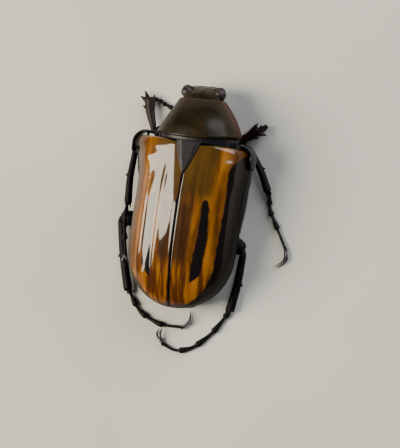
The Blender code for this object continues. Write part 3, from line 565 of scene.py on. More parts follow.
def bristle_horn():
    """Bristle: a solid spine of brown chitin, streaked lighter, with a dull shine."""
    surface, tree, shader, where = new_surface("bristle_brown_chitin", IOR=1.55, Roughness=0.42)
    streak = add_node(tree, "TexNoise", {"Vector": where, "Scale": 3.0, "Detail": 2.0})
    tone = add_node(tree, "ValToRGB", {0: streak}, (
        (0.3, linear("#2a1a10")), (0.7, linear("#5c4022"))))
    tree.links.new(tone.outputs[0], shader.inputs["Base Color"])
    return surface


bristle_brown = bristle_horn()


def shin_half(sizes, share):
    """Half width of a shin from its base (0) to its end (1)."""
    return sizes["knee"] + (sizes["ankle"] - sizes["knee"]) * share ** 1.4


for word, leg in LEGS.items():
    sizes = PAIRS[leg["pair"]]
    coxa, hip = Vector(leg["coxa"]), Vector(leg["hip"])
    knee, ankle = Vector(leg["knee"]), Vector(leg["ankle"])
    outward = -1 if knee.x < 0 else 1
    limb_chitin = chitin_red if leg["pair"] == "fore" else chitin_leg

    # Coxa, and the trochanter that hinges the thigh to it
    along = (hip - coxa).normalized()
    length = (hip - coxa).length
    path = [coxa + along * (-0.45 + (length + 0.35) * share) for share in steps(0.0, 1.0, 15)]
    round_in = [0.25, 0.45, 0.57, 0.65, 0.69, 0.7, 0.7, 0.69, 0.67, 0.64, 0.59, 0.54, 0.48, 0.4, 0.3]
    thigh = (knee - hip).normalized()
    cuff = bend((hip - thigh * 0.35, hip - thigh * 0.05, hip + thigh * 0.4), 9)
    cuff_sizes = [0.22, 0.36, 0.44, 0.48, 0.47, 0.43, 0.4, 0.34, 0.2]
    coxa_piece = grown(f"coxa_{word}_seat", [limb_rings(path, round_in, round_in),
                                             limb_rings(cuff, cuff_sizes, cuff_sizes)])
    fit(coxa_piece, [f"coxa_{word}"], chitin_leg)

    # Thigh: a flattened club with blunt edges
    wide, high = sizes["femur"]
    path = [hip + (knee - hip) * share for share in steps(0.03, 1.0, 34)]
    club = ((0.0, 0.28), (0.06, 0.48), (0.25, 0.88), (0.5, 1.0), (0.8, 0.92), (0.94, 0.74),
            (0.985, 0.5), (1.0, 0.25))
    widths = [wide * line_value(share, club) for share in steps(0.0, 1.0, 34)]
    heights = [high * line_value(share, club) for share in steps(0.0, 1.0, 34)]
    rings = limb_rings(path, widths, heights, 32, lambda angle, share:
                       1 + THIGH_OVAL * math.cos(2 * angle) - THIGH_BLUNT * math.cos(6 * angle))
    fit(skin(f"femur_{word}_thigh", rings), [f"femur_{word}"], chitin_leg)

    # Shin: bent at its base, ribbed lengthways, with teeth outside and spurs inside
    along = (ankle - knee).normalized()
    sideways = Vector((along.y, -along.x, 0.0)).normalized()
    sideways *= math.copysign(1.0, sideways.x * outward)
    start = knee + along * 0.75
    path = bend((knee - along * 0.05 - sideways * 0.12, knee + along * 0.4, start + along * 0.3,
                 (start + ankle) / 2 + sideways * 0.12, ankle - along * 0.4, ankle), 44)
    shape = ((0.0, sizes["knee"] * 0.62), (0.12, sizes["knee"] * 0.72), (0.3, sizes["knee"]),
             (0.6, (sizes["knee"] + sizes["ankle"]) / 2), (0.93, sizes["ankle"]),
             (1.0, sizes["ankle"] * 0.82))
    widths = [line_value(share, shape) for share in steps(0.0, 1.0, 44)]
    heights = [min(width, sizes["high"]) for width in widths]
    forms = [limb_rings(path, widths, heights, 40, lambda angle, share:
                        1 + SHIN_RIB * math.cos(4 * angle) * min(6 * share, 1.0))]
    for share in sizes["teeth"]:
        spot = start + (ankle - start) * share + sideways * shin_half(sizes, share)
        forms.append(spike_rings(spot - sideways * 0.35 - along * 0.3,
                                 spot + sideways * sizes["tooth"] + along * sizes["lean"], 0.3))
    if leg["pair"] == "fore":
        forms.append(spike_rings(ankle - along * 0.35 + sideways * 0.12,
                                 ankle + along * 0.95 + sideways * 0.42, 0.34))
    for spur, reach in enumerate(sizes["spurs"]):
        offset = -sideways * (sizes["ankle"] - 0.2 - 0.35 * spur)
        forms.append(spike_rings(ankle - along * 0.25 + offset,
                                 ankle + along * reach + offset * 1.5, 0.15, sag=-0.03))
    fit(grown(f"tibia_{word}_shin", forms, grain=0.045, rounds=2), [f"tibia_{word}"],
        limb_chitin)

    # Foot: four short joints, each flared at its end, and a long slender last one
    foot = [Vector(point) for point in leg["foot"]]
    before, last = foot[-2], foot[-1]
    claw_start = last + (last - before).normalized() * GAP
    path = bend([ankle - along * 0.15, *foot, claw_start], 76)
    flare = ((0.0, 0.55), (0.3, 0.62), (0.7, 0.98), (0.9, 1.1), (0.97, 1.02), (1.0, 0.5))
    widths = []
    for share in steps(0.0, 1.0, 76):
        ends = [end for end in FOOT_JOINTS if end > share]
        if ends:
            begin = max([0.0] + [end for end in FOOT_JOINTS if end <= share])
            widths.append(sizes["foot"] * line_value((share - begin) / (ends[0] - begin), flare))
        else:
            reach = (share - FOOT_JOINTS[-1]) / (1 - FOOT_JOINTS[-1])
            widths.append(sizes["foot"] * (0.5 + 0.42 * reach ** 2))
    rings = limb_rings(path, widths, [width * 0.92 for width in widths], 18)
    fit(skin(f"tarsus_{word}_foot", rings), [f"tarsus_{word}"], chitin_leg)

    # Claws: two smooth hooks from one root
    middle, tip = [Vector(point) for point in leg["claws"]]
    toward = (middle - claw_start).normalized()
    reach = tip - claw_start
    splay = math.radians(leg["splay"])
    spread = Vector((reach.y, -reach.x, 0.0)).normalized() * math.cos(splay)
    spread.z = math.sin(splay)
    root = [claw_start - toward * 0.12, claw_start + toward * 0.12, claw_start + toward * 0.36]
    forms = [limb_rings(bend(root, 7), [0.12, 0.18, 0.2, 0.21, 0.2, 0.17, 0.1],
                        [0.12, 0.17, 0.19, 0.2, 0.19, 0.16, 0.1], 14)]
    taper = [0.13, 0.16, 0.165, 0.16, 0.15, 0.14, 0.125, 0.11, 0.09, 0.07, 0.045, 0.02]
    for side in (-1, 1):
        hook = bend((claw_start + toward * 0.15 + spread * side * 0.06,
                     middle + spread * side * CLAW_SPREAD, tip + spread * side * CLAW_SPREAD),
                    len(taper))
        forms.append(limb_rings(hook, taper, taper, 12))
    fit(grown(f"claws_{word}_hooks", forms, grain=0.035, rounds=2), [f"claws_{word}"],
        horn)

    # Bristles: a row inside the shin and one under the thigh, and a few at each foot joint
    roots = []
    for share in steps(0.25, 0.95, 15):
        spot = start + (ankle - start) * share
        root = spot - sideways * (shin_half(sizes, share) - 0.08)
        lean = -sideways + along * 0.9 + Vector((0, 0, chance.uniform(-0.1, 0.5)))
        roots.append((root, lean, chance.uniform(0.35, 0.6), MEDIUM))
    for share in steps(0.2, 0.85, 11):
        spot = hip + (knee - hip) * share
        lean = Vector((0, 0, -1)) + thigh * 0.5 + sideways * chance.uniform(-0.5, 0.5)
        roots.append((spot + Vector((0, 0, -0.3)), lean, chance.uniform(0.2, 0.35), FINE))
    for end in FOOT_JOINTS:
        index = min(int(end * 75), 74)
        forward = (path[index + 1] - path[index - 1]).normalized()
        level = Vector((forward.y, -forward.x, 0.0)).normalized()
        for side in (-level, level):
            roots.append((path[index] + side * widths[index] * 0.7, forward + side * 0.55, 0.36,
                          STOUT))
            roots.append((path[index] + side * widths[index] * 0.5, forward + side * 0.25, 0.26,
                          MEDIUM))
    bristles(f"bristles_{word}", roots, bristle_brown)


# The prothorax is one ring of chitin that carries the fore legs: the shield (pronotum) above and
# the prosternum, hollowed for the fore thighs, below.  The shield has a fine bead along its sides
# and is evenly pitted; both sit turned a little to the beetle's left, as the body dried.
PRONOTUM_REAR = 18.65
PRONOTUM_SWEEP = 0.55        # how far the rear corners lie forward of its middle
PRONOTUM_FRONT = 23.2
PRONOTUM_HALVES = (4.85, 2.57)    # half widths of its rear and front edge
PRONOTUM_CROWN = ((0.0, 8.05), (0.35, 7.75), (0.7, 6.85), (1.0, 5.55))
PRONOTUM_MARGIN = ((0.0, 4.0), (0.5, 3.95), (1.0, 4.0))
PRONOTUM_FLOOR = 3.55        # underside of the shield
PROTHORAX_TURN = math.radians(3.5)
PROTHORAX_PIVOT = Vector((-3.5, 18.75, 0.0))
# Shift to the right at lengths forward of its rear edge, for its slightly lopsided sides
PROTHORAX_LEAN = ((0.0, 0.0), (1.1, 0.08), (2.2, 0.12), (3.3, 0.06), (4.4, -0.1), (6.0, -0.13))
SHIELD_EDGE = 0.22           # radius of the shield's rounded edges
SIDE_BEAD = 0.07             # height of the bead along its sides
PROSTERNUM_SHARE = 0.93      # width of the prosternum as a share of the shield's
PROSTERNUM_KEEL, PROSTERNUM_CLIMB = 1.15, 1.3      # its height at the rear, and the rise to the front
PROSTERNUM_WALL = 0.35       # height of its upright side


def turned(point):
    """A point of the head or prothorax, which sit turned a little to the beetle's left."""
    offset = Vector(point) - PROTHORAX_PIVOT
    offset.x += line_value(offset.y, PROTHORAX_LEAN)
    return PROTHORAX_PIVOT + Matrix.Rotation(PROTHORAX_TURN, 3, "Z") @ offset


def pronotum_half(share):
    """Half width of the shield from its rear edge (0) to its front edge (1)."""
    rear, front = PRONOTUM_HALVES
    return rear + (front - rear) * share + 0.18 * math.sin(math.pi * share)


def shield_y(x, share):
    """Place along the body of a share of the shield's length, whose rear edge is swept forward."""
    rear = PRONOTUM_REAR + PRONOTUM_SWEEP * (x / PRONOTUM_HALVES[0]) ** 2
    return rear + (PRONOTUM_FRONT - rear) * share


def rounded(distance, radius):
    """How far a surface has dropped at a distance from its rounded edge."""
    short = max(radius - distance, 0.0)
    return radius - math.sqrt(max(radius ** 2 - short ** 2, 0.0))


def pronotum_shell(word, red_from, red_to):
    """Shield and head chitin: olive black, turning dark red-brown between two heights."""
    surface, tree, shader, where, clouds, tone = clouded(
        f"{word}_olive_black_chitin", ((0.3, "#120e08"), (0.52, "#211b0d"), (0.72, "#2f230f")),
        (0.22, 0.4), {"Scale": 0.55, "Detail": 5.0, "Roughness": 0.6}, Specular_IOR_Level=0.08,
        Coat_Weight=0.16, Coat_Roughness=0.26)
    apart = add_node(tree, "SeparateXYZ", {0: where})
    down = add_node(tree, "Math", {0: clouds, 1: 1.6, 2: apart.outputs["Z"]}, operation="MULTIPLY_ADD")
    side = add_node(tree, "MapRange", {0: down, 1: red_from, 2: red_to, 4: 0.85},
                    interpolation_type="SMOOTHSTEP")
    red = add_node(tree, "Mix", {0: side, 6: tone, 7: linear("#43200f")}, data_type="RGBA")
    tree.links.new(red.outputs[2], shader.inputs["Base Color"])
    pitted(tree, shader, where, apart=0.2, depth=0.022, ripple=0.8)
    return surface


chitin_shield = pronotum_shell("pronotum", red_from=7.1, red_to=5.0)

rings = []
length = PRONOTUM_FRONT - PRONOTUM_REAR
shares = [0.0, 0.004, 0.012, 0.024, 0.04] + steps(0.06, 0.94, 46) + [0.96, 0.976, 0.988, 0.996, 1.0]
for share in shares:
    drop = rounded(min(share, 1 - share) * length, SHIELD_EDGE)
    half = pronotum_half(share) - drop
    crown = line_value(share, PRONOTUM_CROWN) - drop
    margin = line_value(share, PRONOTUM_MARGIN)
    ring = []
    for step in range(-40, 41):
        angle = math.pi / 2 * abs(step) / 40
        x, z = vault(half, crown, margin, angle)
        # Side bead: a raised rim with a groove inside it
        low = (z - margin) / max(crown - margin, 0.1)
        x += SIDE_BEAD * (hump(low - 0.04, 0.07) - hump(low - 0.2, 0.08))
        ring.append((math.copysign(x, step), shield_y(x, share), z))
    for step in steps(0.99, -0.99, 25):
        ring.append((half * step, shield_y(half * step, share),
                     PRONOTUM_FLOOR + drop + 0.4 * abs(step) ** 8))
    rings.append([turned(point) for point in ring])
fit(skin("pronotum_shield", rings), ["pronotum"], chitin_shield)

rings = []
top = PRONOTUM_FLOOR - 0.05
side_foot = top - PROSTERNUM_WALL
for share in steps(0.0, 0.97, 44):
    drop = rounded(min(share, 0.97 - share) * length, 0.3)
    half = pronotum_half(share) * PROSTERNUM_SHARE - drop
    y = PRONOTUM_REAR + 0.05 + (length - 0.15) * share
    keel = PROSTERNUM_KEEL + PROSTERNUM_CLIMB * share ** 1.3 + drop
    ring = [(half * step, y, top) for step in steps(-1.0, 1.0, 15)]
    for angle in steps(0.0, math.pi, 42)[1:-1]:
        ridge = 0.12 * hump(math.cos(angle), 0.06)
        ring.append((half * math.cos(angle), y,
                     side_foot - (side_foot - keel) * math.sin(angle) - ridge))
    rings.append([hollowed(turned(point), ("fore_left", "fore_right")) for point in ring])
fit(skin("prosternum_plate", rings), ["prosternum"], chitin_black)


# The head hangs down in front of the shield: a flattened capsule of hard chitin whose front plate,
# the clypeus, has a raised rim and a shallow notch.  At its sides sit the compound eyes, each
# behind a small bar, and below it the elbowed antennae with three-leaved clubs and the mouthparts.
HEAD_REAR = PRONOTUM_FRONT + GAP
HEAD_TOP = 5.3
# Along the face: its slope in degrees, half width, depth, and the squareness of its sections
HEAD_DROOP = ((-0.3, 47.0), (0.8, 56.0), (2.0, 72.0), (3.3, 84.0))
HEAD_HALF = ((-0.3, 2.16), (0.3, 2.2), (0.9, 2.14), (1.3, 2.14), (1.6, 2.2), (2.3, 2.22),
             (2.95, 1.95), (3.3, 1.45))
HEAD_DEPTH = ((-0.3, 1.4), (0.8, 2.0), (1.6, 2.0), (2.3, 1.5), (2.95, 0.95), (3.3, 0.45))
HEAD_POWERS = ((0.0, 2.3), (0.8, 2.8), (1.7, 3.6))
EYE_RADII = (0.72, 0.7, 0.66)
EYE_CENTRE = Vector((1.88, 23.88, 3.92))
FACET = 0.045                # real facets are about half this, too fine to show


def head_point(along, x, depth):
    """Point of the head at a distance down its arched face, and a depth behind it."""
    parts = 24
    y, z = HEAD_REAR, HEAD_TOP
    for step in range(parts):
        droop = math.radians(line_value(along * (step + 0.5) / parts, HEAD_DROOP))
        y += along / parts * math.cos(droop)
        z -= along / parts * math.sin(droop)
    droop = math.radians(line_value(along, HEAD_DROOP))
    return turned((x, y - depth * math.sin(droop), z - depth * math.cos(droop)))


def eye_cornea():
    """Compound eye: grey-brown, its facets so fine that they show as a grain in a soft shine."""
    surface, tree, shader, where, _, _ = clouded(
        "compound_eye_faceted", ((0.3, "#15100e"), (0.55, "#2b2322"), (0.75, "#403636")),
        (0.38, 0.5), {"Scale": 1.3, "Detail": 3.0}, Specular_IOR_Level=0.25, Coat_Weight=0.15,
        Coat_Roughness=0.4)
    facets = add_node(tree, "TexVoronoi", {"Vector": where, "Scale": 1 / FACET})
    bump = add_node(tree, "Bump", {
        "Height": facets.outputs["Distance"], "Strength": 0.35, "Distance": 0.01 * MM}, invert=True)
    tree.links.new(bump.outputs[0], shader.inputs["Normal"])
    return surface


cornea = eye_cornea()
chitin_head = pronotum_shell("head", red_from=4.4, red_to=2.0)

# Capsule: a neck inside the shield, sections down the face, and the bar in front of each eye
rings = []
for y, half, low, high in ((21.9, 1.6, 2.6, 4.6), (22.5, 1.85, 2.3, 4.85), (23.1, 2.0, 2.1, 5.05)):
    rings.append([turned((half * squared(cosine, 0.7), y,
                          (low + high) / 2 + (high - low) / 2 * squared(sine, 0.7)))
                  for cosine, sine in circle(64)])
for along in steps(-0.15, 3.1, 44) + [3.16, 3.22, 3.27, 3.3]:
    half, depth = line_value(along, HEAD_HALF), line_value(along, HEAD_DEPTH)
    power, tuck = line_value(along, HEAD_POWERS), max(0.6 - along, 0.0) / 0.75
    clypeus = kept((along - 1.5) / 0.5)
    ring = []
    for cosine, sine in circle(64):
        x = half * (1 - 0.05 * tuck ** 2) * squared(cosine, 2 / power)
        edge = abs(x) / half
        # Side rims and the hollows beside them, front rim and hollow, and the rear let down
        relief = clypeus * (0.09 * hump(edge - 0.93, 0.07) - 0.08 * hump(edge - 0.72, 0.16))
        relief += 0.02 * hump(along - 3.05, 0.12) * (1 - 0.5 * edge ** 4)
        relief -= 0.07 * hump(along - 2.7, 0.2) + 0.14 * tuck ** 2
        # Swelling of the forehead, and the seam below it
        relief += 0.07 * hump(x, 0.3) * hump(along - 0.9, 0.7)
        relief -= 0.05 * hump(along - 1.75 + 0.1 * edge, 0.08)
        notch = 0.2 * hump(x, 0.42) * max((along - 2.6) / 0.7, 0.0)
        ring.append(head_point(along - notch, x, depth / 2 * (1 - squared(sine, 2 / power))
                               - relief * max(sine, 0.0)))
    rings.append(ring)
forms = [rings]
for side in (-1, 1):
    bar = bend([turned((side * x, y, z)) for x, y, z in
                ((1.35, 24.2, 4.0), (1.72, 24.49, 3.95), (2.02, 24.54, 3.92), (2.28, 24.44, 3.9),
                 (2.46, 24.26, 3.89))], 13)
    sizes = [0.3, 0.26, 0.2, 0.16, 0.14, 0.13, 0.12, 0.11, 0.11, 0.1, 0.1, 0.09, 0.06]
    forms.append(limb_rings(bar, sizes, sizes, 16))
capsule = grown("head_capsule", forms, grain=0.04, rounds=2)
fit(capsule, ["head"], chitin_head)

for side, word in ((-1, "left"), (1, "right")):
    # Eye: a flattened ball set into the side of the head
    rings = []
    for polar in steps(0.04, math.pi - 0.04, 30):
        spots = [EYE_CENTRE + Vector((EYE_RADII[0] * math.sin(polar) * cosine,
                                      EYE_RADII[1] * math.sin(polar) * sine,
                                      EYE_RADII[2] * math.cos(polar))) for cosine, sine in circle(40)]
        rings.append([turned((side * spot.x, spot.y, spot.z)) for spot in spots])
    fit(skin(f"eye_{word}_ball", rings), [f"eye_{word}"], cornea)

    # Antenna: a long first joint, small beads, and three leaves closed to an oval club
    joints = ((1.15, 24.2, 1.85), (1.45, 24.3, 1.8), (1.6, 23.95, 1.6), (1.5, 23.45, 1.42))
    path = bend([turned((side * x, y, z)) for x, y, z in joints], 60)
    widths = []
    for share in steps(0.0, 1.0, 60):
        if share < 0.42:
            widths.append(0.15 + 0.15 * math.sin(math.pi * share / 0.42) ** 0.7)
        else:
            bead = ((share - 0.42) / 0.58 * 6) % 1.0
            widths.append(0.13 + 0.11 * math.sin(math.pi * bead))
    forms = [limb_rings(path, widths, widths, 16)]
    root, tip = Vector((1.5, 23.5, 1.42)), Vector((1.45, 22.2, 1.38))
    for across, tall in ((-0.27, 0.44), (0.0, 0.5), (0.27, 0.44)):
        axis = bend([turned((side * (point.x + across * 0.9 * spread_out), point.y, point.z))
                     for point, spread_out in ((root, 0.25), ((root + tip) / 2, 1.0), (tip, 1.0))], 15)
        shape = [math.sin(math.pi * (0.06 + 0.9 * share)) ** 0.6 for share in steps(0.0, 1.0, 15)]
        forms.append(limb_rings(axis, [0.13 * size for size in shape],
                                [tall * size for size in shape], 24))
    fit(grown(f"antenna_{word}_feeler", forms, grain=0.03, rounds=1), [f"antenna_{word}"],
        chitin_red)

# Mouthparts: the chin plate with its two lobes, and four jointed palps
CHIN_TOP = 2.1
rings = []
for y, half, low in ((23.3, 0.42, 1.7), (23.5, 0.62, 1.5), (23.8, 0.78, 1.42), (24.1, 0.74, 1.4),
                     (24.3, 0.6, 1.46), (24.42, 0.4, 1.6)):
    ring = []
    for cosine, sine in circle(24):
        groove = 0.1 * hump(half * cosine, 0.12) if sine < 0 else 0.0
        z = (low + CHIN_TOP) / 2 + (CHIN_TOP - low) / 2 * sine + groove
        ring.append(turned((half * cosine, y, z)))
    rings.append(ring)
forms = [rings]
for side in (-1, 1):
    for route, radius in ((((0.5, 23.75, 1.62), (0.82, 24.1, 1.56), (0.8, 24.5, 1.62)), 0.15),
                          (((0.2, 23.85, 1.5), (0.32, 24.15, 1.42), (0.28, 24.42, 1.48)), 0.1)):
        path = bend([turned((side * x, y, z)) for x, y, z in route], 31)
        widths = [radius * (0.55 + 0.45 * abs(math.sin(math.pi * 3 * share)) ** 0.7)
                  * (1 if share < 0.97 else 0.6) for share in steps(0.0, 1.0, 31)]
        forms.append(limb_rings(path, widths, widths, 14))
fit(grown("mouthparts_chin", forms, grain=0.035, rounds=1), ["mouthparts"],
    chitin_red)


# The scutellum is the small black triangle wedged between the bases of the wing cases, which it
# locks when they are closed.  It is a hard, flat plate, finely pitted, with a low rim.
SCUTELLUM_BASE = 18.3
SCUTELLUM_LENGTH = 3.2
SCUTELLUM_HALF = 1.25
SCUTELLUM_EDGE = 0.12        # radius of its rounded edges


def scutellum_half(y):
    """Half width of the scutellum, whose sides bow out slightly."""
    share = (SCUTELLUM_BASE - y) / SCUTELLUM_LENGTH
    return SCUTELLUM_HALF * min(max(1 - share, 0.0), 1.1) ** 0.85


rings = []
for y in steps(SCUTELLUM_BASE + 0.25, SCUTELLUM_BASE - SCUTELLUM_LENGTH + 0.02, 40):
    half = scutellum_half(y) + SCUTELLUM_EDGE
    crown = line_value(y, CROWN_LINE) + 0.03
    ring = []
    for share in steps(-1.0, 1.0, 25):
        drop = rounded(half * (1 - abs(share)), SCUTELLUM_EDGE) + 0.04 * hump(abs(share) - 0.8, 0.1)
        ring.append((half * share, y, crown - drop))
    ring += [(half * share, y, crown - WALL) for share in steps(1.0, -1.0, 9)]
    rings.append(ring)
fit(skin("scutellum_plate", rings), ["scutellum"], chitin_black)


# A mesepimeron shows at each shoulder: a side plate of the thorax, pushed up between the shield
# and the wing case, which marks a flower chafer.  It is black chitin, pitted and softly edged.
FRONT_BOW = 0.35             # how far the front of the wing cases bows forward at the shoulders
PLATE_START = {-1: 5.35, 1: 4.95}
PLATE_THICK = 0.38
PLATE_STAND = 0.175          # how far beyond the gap its middle stands off the wing case
PLATE_TAIL = 1.15            # length that runs back along the side
PLATE_LOW, PLATE_HIGH = 3.15, 5.1
for side, word in ((-1, "left"), (1, "right")):
    radius = SHOULDER_ROUND + GAP + PLATE_STAND
    centre = Vector((SHOULDER_HALF + SHOULDER_SHIFT[side] - SHOULDER_ROUND,
                     SHOULDER_Y + 0.7 * FRONT_BOW, (PLATE_LOW + PLATE_HIGH) / 2))
    path = [(Vector((PLATE_START[side] + (centre.x - PLATE_START[side]) * share,
                     centre.y + radius, centre.z)), Vector((0.0, 1.0, 0.0)))
            for share in steps(0.0, 0.95, 10)]
    for angle in steps(math.pi / 2, 0.0, 26):
        outward = Vector((math.cos(angle), math.sin(angle), 0.0))
        path.append((centre + outward * radius, outward))
    path += [(centre + Vector((radius - 0.03 * share, -PLATE_TAIL * share, 0.0)),
              Vector((1.0, 0.0, 0.0))) for share in steps(0.08, 1.0, 14)]
    rings = []
    for index, (spot, outward) in enumerate(path):
        share = index / (len(path) - 1)
        end = line_value(share, ((0.0, 0.3), (0.04, 0.6), (0.15, 0.9), (0.3, 1.0), (0.8, 0.97),
                                 (0.93, 0.75), (1.0, 0.3)))
        peak = line_value(share, ((0.0, 1.9), (0.2, 1.55), (0.45, 1.0), (1.0, 0.9)))
        ring = []
        for cosine, sine in circle(28):
            rise = (PLATE_HIGH - PLATE_LOW) / 2 * squared(sine) * end
            rise *= peak if rise > 0 else 1.0
            point = spot + outward * (PLATE_THICK / 2 * squared(cosine) * min(2 * end, 1.0))
            ring.append((side * point.x, point.y, point.z + rise))
        rings.append(ring)
    fit(skin(f"mesepimeron_{word}_plate", rings), [f"mesepimeron_{word}"],
        chitin_black)


# The wing cases (elytra) are the hardened fore wings, hinged at the shoulders and meeting in a
# straight seam.  Each is a bowed plate of chitin with a rolled side edge, a bump at the shoulder
# and one near the tip; pigment in its layers makes the stripes, under a surface as clear as varnish.
APEX_Y = 0.015
FRONT_Y = 18.1
SEAM_X = 0.012               # half the hairline left between the closed wing cases
CASE_WALL = 0.35
CASE_EDGE = 0.14             # radius of the wing case's rounded edges
APEX_DROP = 0.9              # length over which the crown comes down at the tip
CROWN_TOP = 8.39
BUMPS = ((4.7, 16.0, 0.18, 0.9), (3.4, 2.9, 0.15, 0.8))   # x, y, height and radius
COSTAE = ((2.0, 0.045), (4.1, 0.035))                     # x and height of the low ribs
COSTA_REAR, COSTA_FRONT = 2.5, 16.0                       # the ribs fade out towards these
SEAM_RISE = 0.02             # height of the welt beside the seam
SEAM_RISE_END = 12.0         # the welt fades out towards this
BAND_SOFT = 0.11             # half the width over which a black band fades in
# Black pigment: distance of its edge or middle from the seam, or its half width, along y
SIDE_BAND = {
    "right": ((0.3, 1.4), (1.2, 2.6), (2.3, 3.65), (3.3, 4.14), (4.7, 4.59), (6.2, 4.68),
              (8.06, 4.8), (9.9, 4.82), (11.9, 4.94), (13.7, 4.87), (15.6, 4.85), (17.0, 5.4),
              (18.2, 6.2)),
    "left": ((0.3, 1.9), (1.5, 3.2), (2.4, 4.0), (3.8, 5.0), (6.5, 5.55), (8.3, 5.7), (11.0, 5.72),
             (12.5, 5.65), (14.0, 5.6), (16.0, 5.85), (18.2, 6.5)),
}
STRIPE_CENTRE = ((3.1, 2.35), (3.35, 2.5), (4.2, 2.83), (5.0, 2.89), (6.8, 3.08), (8.6, 3.18),
                 (10.4, 3.15), (12.2, 3.03))
STRIPE_HALF = ((3.1, 0.0), (3.35, 0.2), (4.2, 0.55), (5.0, 0.61), (6.8, 0.58), (8.6, 0.54),
               (10.4, 0.43), (12.1, 0.3), (12.4, 0.0))
SUTURE_HALF = {
    "right": ((0.0, 0.12), (4.0, 0.2), (15.0, 0.16)),
    "left": ((0.0, 0.12), (4.0, 0.2), (8.4, 0.22), (9.6, 0.36), (11.2, 0.34), (12.2, 0.2),
             (15.0, 0.16)),
}
CURVE_LENGTH, CURVE_RISE = 20.0, 10.0     # lengths that the unit square of a curve node stands for
# Soft clouds of colour: colour, strength, and the limits over which each fades in.
# The first three are pigment, the fourth is painted shade down the outer flanks, and the last
# tints the very tip blue-grey
CLOUDS = (
    ("#2a1608", 0.85, (("x", 2.4, 1.4), ("y", 4.0, 6.0), ("y", 12.6, 10.6))),
    ("#3d2f0c", 0.85, (("x", 4.2, 3.0), ("y", 11.4, 13.4))),
    ("#221409", 0.55, (("x", 2.6, 1.4), ("y", 14.2, 12.2), ("y", 10.0, 11.6))),
    # Painted shade: darkens the outer flanks of both wing cases towards the black side band
    ("#3a1c08", 0.85, (("x", 4.2, 5.4),)),
    # Blue-grey tint over the very tip of the wing cases
    ("#262a3a", 0.8, (("y", 0.62, 0.2),)),
)


def wing_case_surface(word):
    """Striped pigment of one wing case, with painted shade down its flanks, seen through a hard clear
    surface.
    """
    surface, tree, shader, where = new_surface(
        f"elytron_{word}_striped_chitin", IOR=1.56, Specular_IOR_Level=0.04,
        Coat_Roughness=0.05, Coat_IOR=1.56)
    apart = add_node(tree, "SeparateXYZ", {0: where})
    out = add_node(tree, "Math", {0: apart.outputs["X"]}, operation="ABSOLUTE")
    waver = add_node(tree, "TexNoise", {"Vector": where, "Scale": 0.9, "Detail": 4.0})
    shift = add_node(tree, "Math", {0: waver, 1: 0.36, 2: -0.18}, operation="MULTIPLY_ADD")
    x = add_node(tree, "Math", {0: out, 1: shift}, operation="ADD")
    y = add_node(tree, "Math", {0: shift, 1: 3.0, 2: apart.outputs["Y"]}, operation="MULTIPLY_ADD")
    place = {"x": x, "y": y}
    along = add_node(tree, "Math", {0: apart.outputs["Y"], 1: 1 / CURVE_LENGTH}, operation="MULTIPLY")

    # Ground colour, with streaks drawn out along the wing case that are darkest near its tip
    drawn = add_node(tree, "Mapping", {"Vector": where, "Scale": (1.7, 0.2, 0.25)})
    streaks = add_node(tree, "TexNoise", {
        "Vector": drawn, "Scale": 1.0, "Detail": 2.5, "Roughness": 0.45})
    ground = add_node(tree, "ValToRGB", {0: streaks}, (
        (0.32, linear("#5c3407")), (0.5, linear("#804d0d")), (0.68, linear("#98621d"))))
    dark = add_node(tree, "MapRange", {0: streaks, 1: 0.54, 2: 0.42}, interpolation_type="SMOOTHSTEP")
    rear = add_node(tree, "MapRange", {0: y, 1: 6.5, 2: 3.5, 3: 0.15, 4: 0.75},
                    interpolation_type="SMOOTHSTEP")
    mask = add_node(tree, "Math", {0: dark, 1: rear}, operation="MULTIPLY")
    colour = add_node(tree, "Mix", {0: mask, 6: ground, 7: linear("#3d1c0a")}, data_type="RGBA")
    for tint, strength, limits in CLOUDS:
        mask = strength
        for axis, low, high in limits:
            edge = add_node(tree, "MapRange", {0: place[axis], 1: low, 2: high},
                            interpolation_type="SMOOTHSTEP")
            mask = add_node(tree, "Math", {0: mask, 1: edge}, operation="MULTIPLY")
        colour = add_node(tree, "Mix", {0: mask, 6: colour.outputs[2], 7: linear(tint)},
                          data_type="RGBA")

    # Black bands: the stripe down the disc, the side and the seam
    side_half = tuple((y_at, CURVE_RISE - edge) for y_at, edge in SIDE_BAND[word])
    for centre, half in ((STRIPE_CENTRE, STRIPE_HALF),
                         (((0.0, CURVE_RISE), (CURVE_LENGTH, CURVE_RISE)), side_half),
                         (((0.0, 0.0), (CURVE_LENGTH, 0.0)), SUTURE_HALF[word])):
        middle, reach = [add_node(tree, "FloatCurve", {1: along}, tuple(
            (y_at / CURVE_LENGTH, value / CURVE_RISE) for y_at, value in stations))
            for stations in (centre, half)]
        off = add_node(tree, "Math", {0: middle, 1: -CURVE_RISE, 2: x}, operation="MULTIPLY_ADD")
        off = add_node(tree, "Math", {0: off}, operation="ABSOLUTE")
        beyond = add_node(tree, "Math", {0: reach, 1: -CURVE_RISE, 2: off}, operation="MULTIPLY_ADD")
        mask = add_node(tree, "MapRange", {0: beyond, 1: BAND_SOFT, 2: -BAND_SOFT},
                        interpolation_type="SMOOTHSTEP")
        colour = add_node(tree, "Mix", {0: mask, 6: colour.outputs[2], 7: linear("#0e0908")},
                          data_type="RGBA")
    tree.links.new(colour.outputs[2], shader.inputs["Base Color"])
    wear = add_node(tree, "MapRange", {0: waver, 3: 0.24, 4: 0.42})
    tree.links.new(wear.outputs[0], shader.inputs["Roughness"])

    # The clear surface is worn dull down the flanks
    clear = add_node(tree, "MapRange", {
        0: apart.outputs["Z"], 1: 5.0, 2: 7.3, 3: 0.08, 4: 1.0}, interpolation_type="SMOOTHSTEP")
    tree.links.new(clear.outputs[0], shader.inputs["Coat Weight"])
    pitted(tree, shader, where, apart=0.42, depth=0.012, ripple=1.6)
    return surface


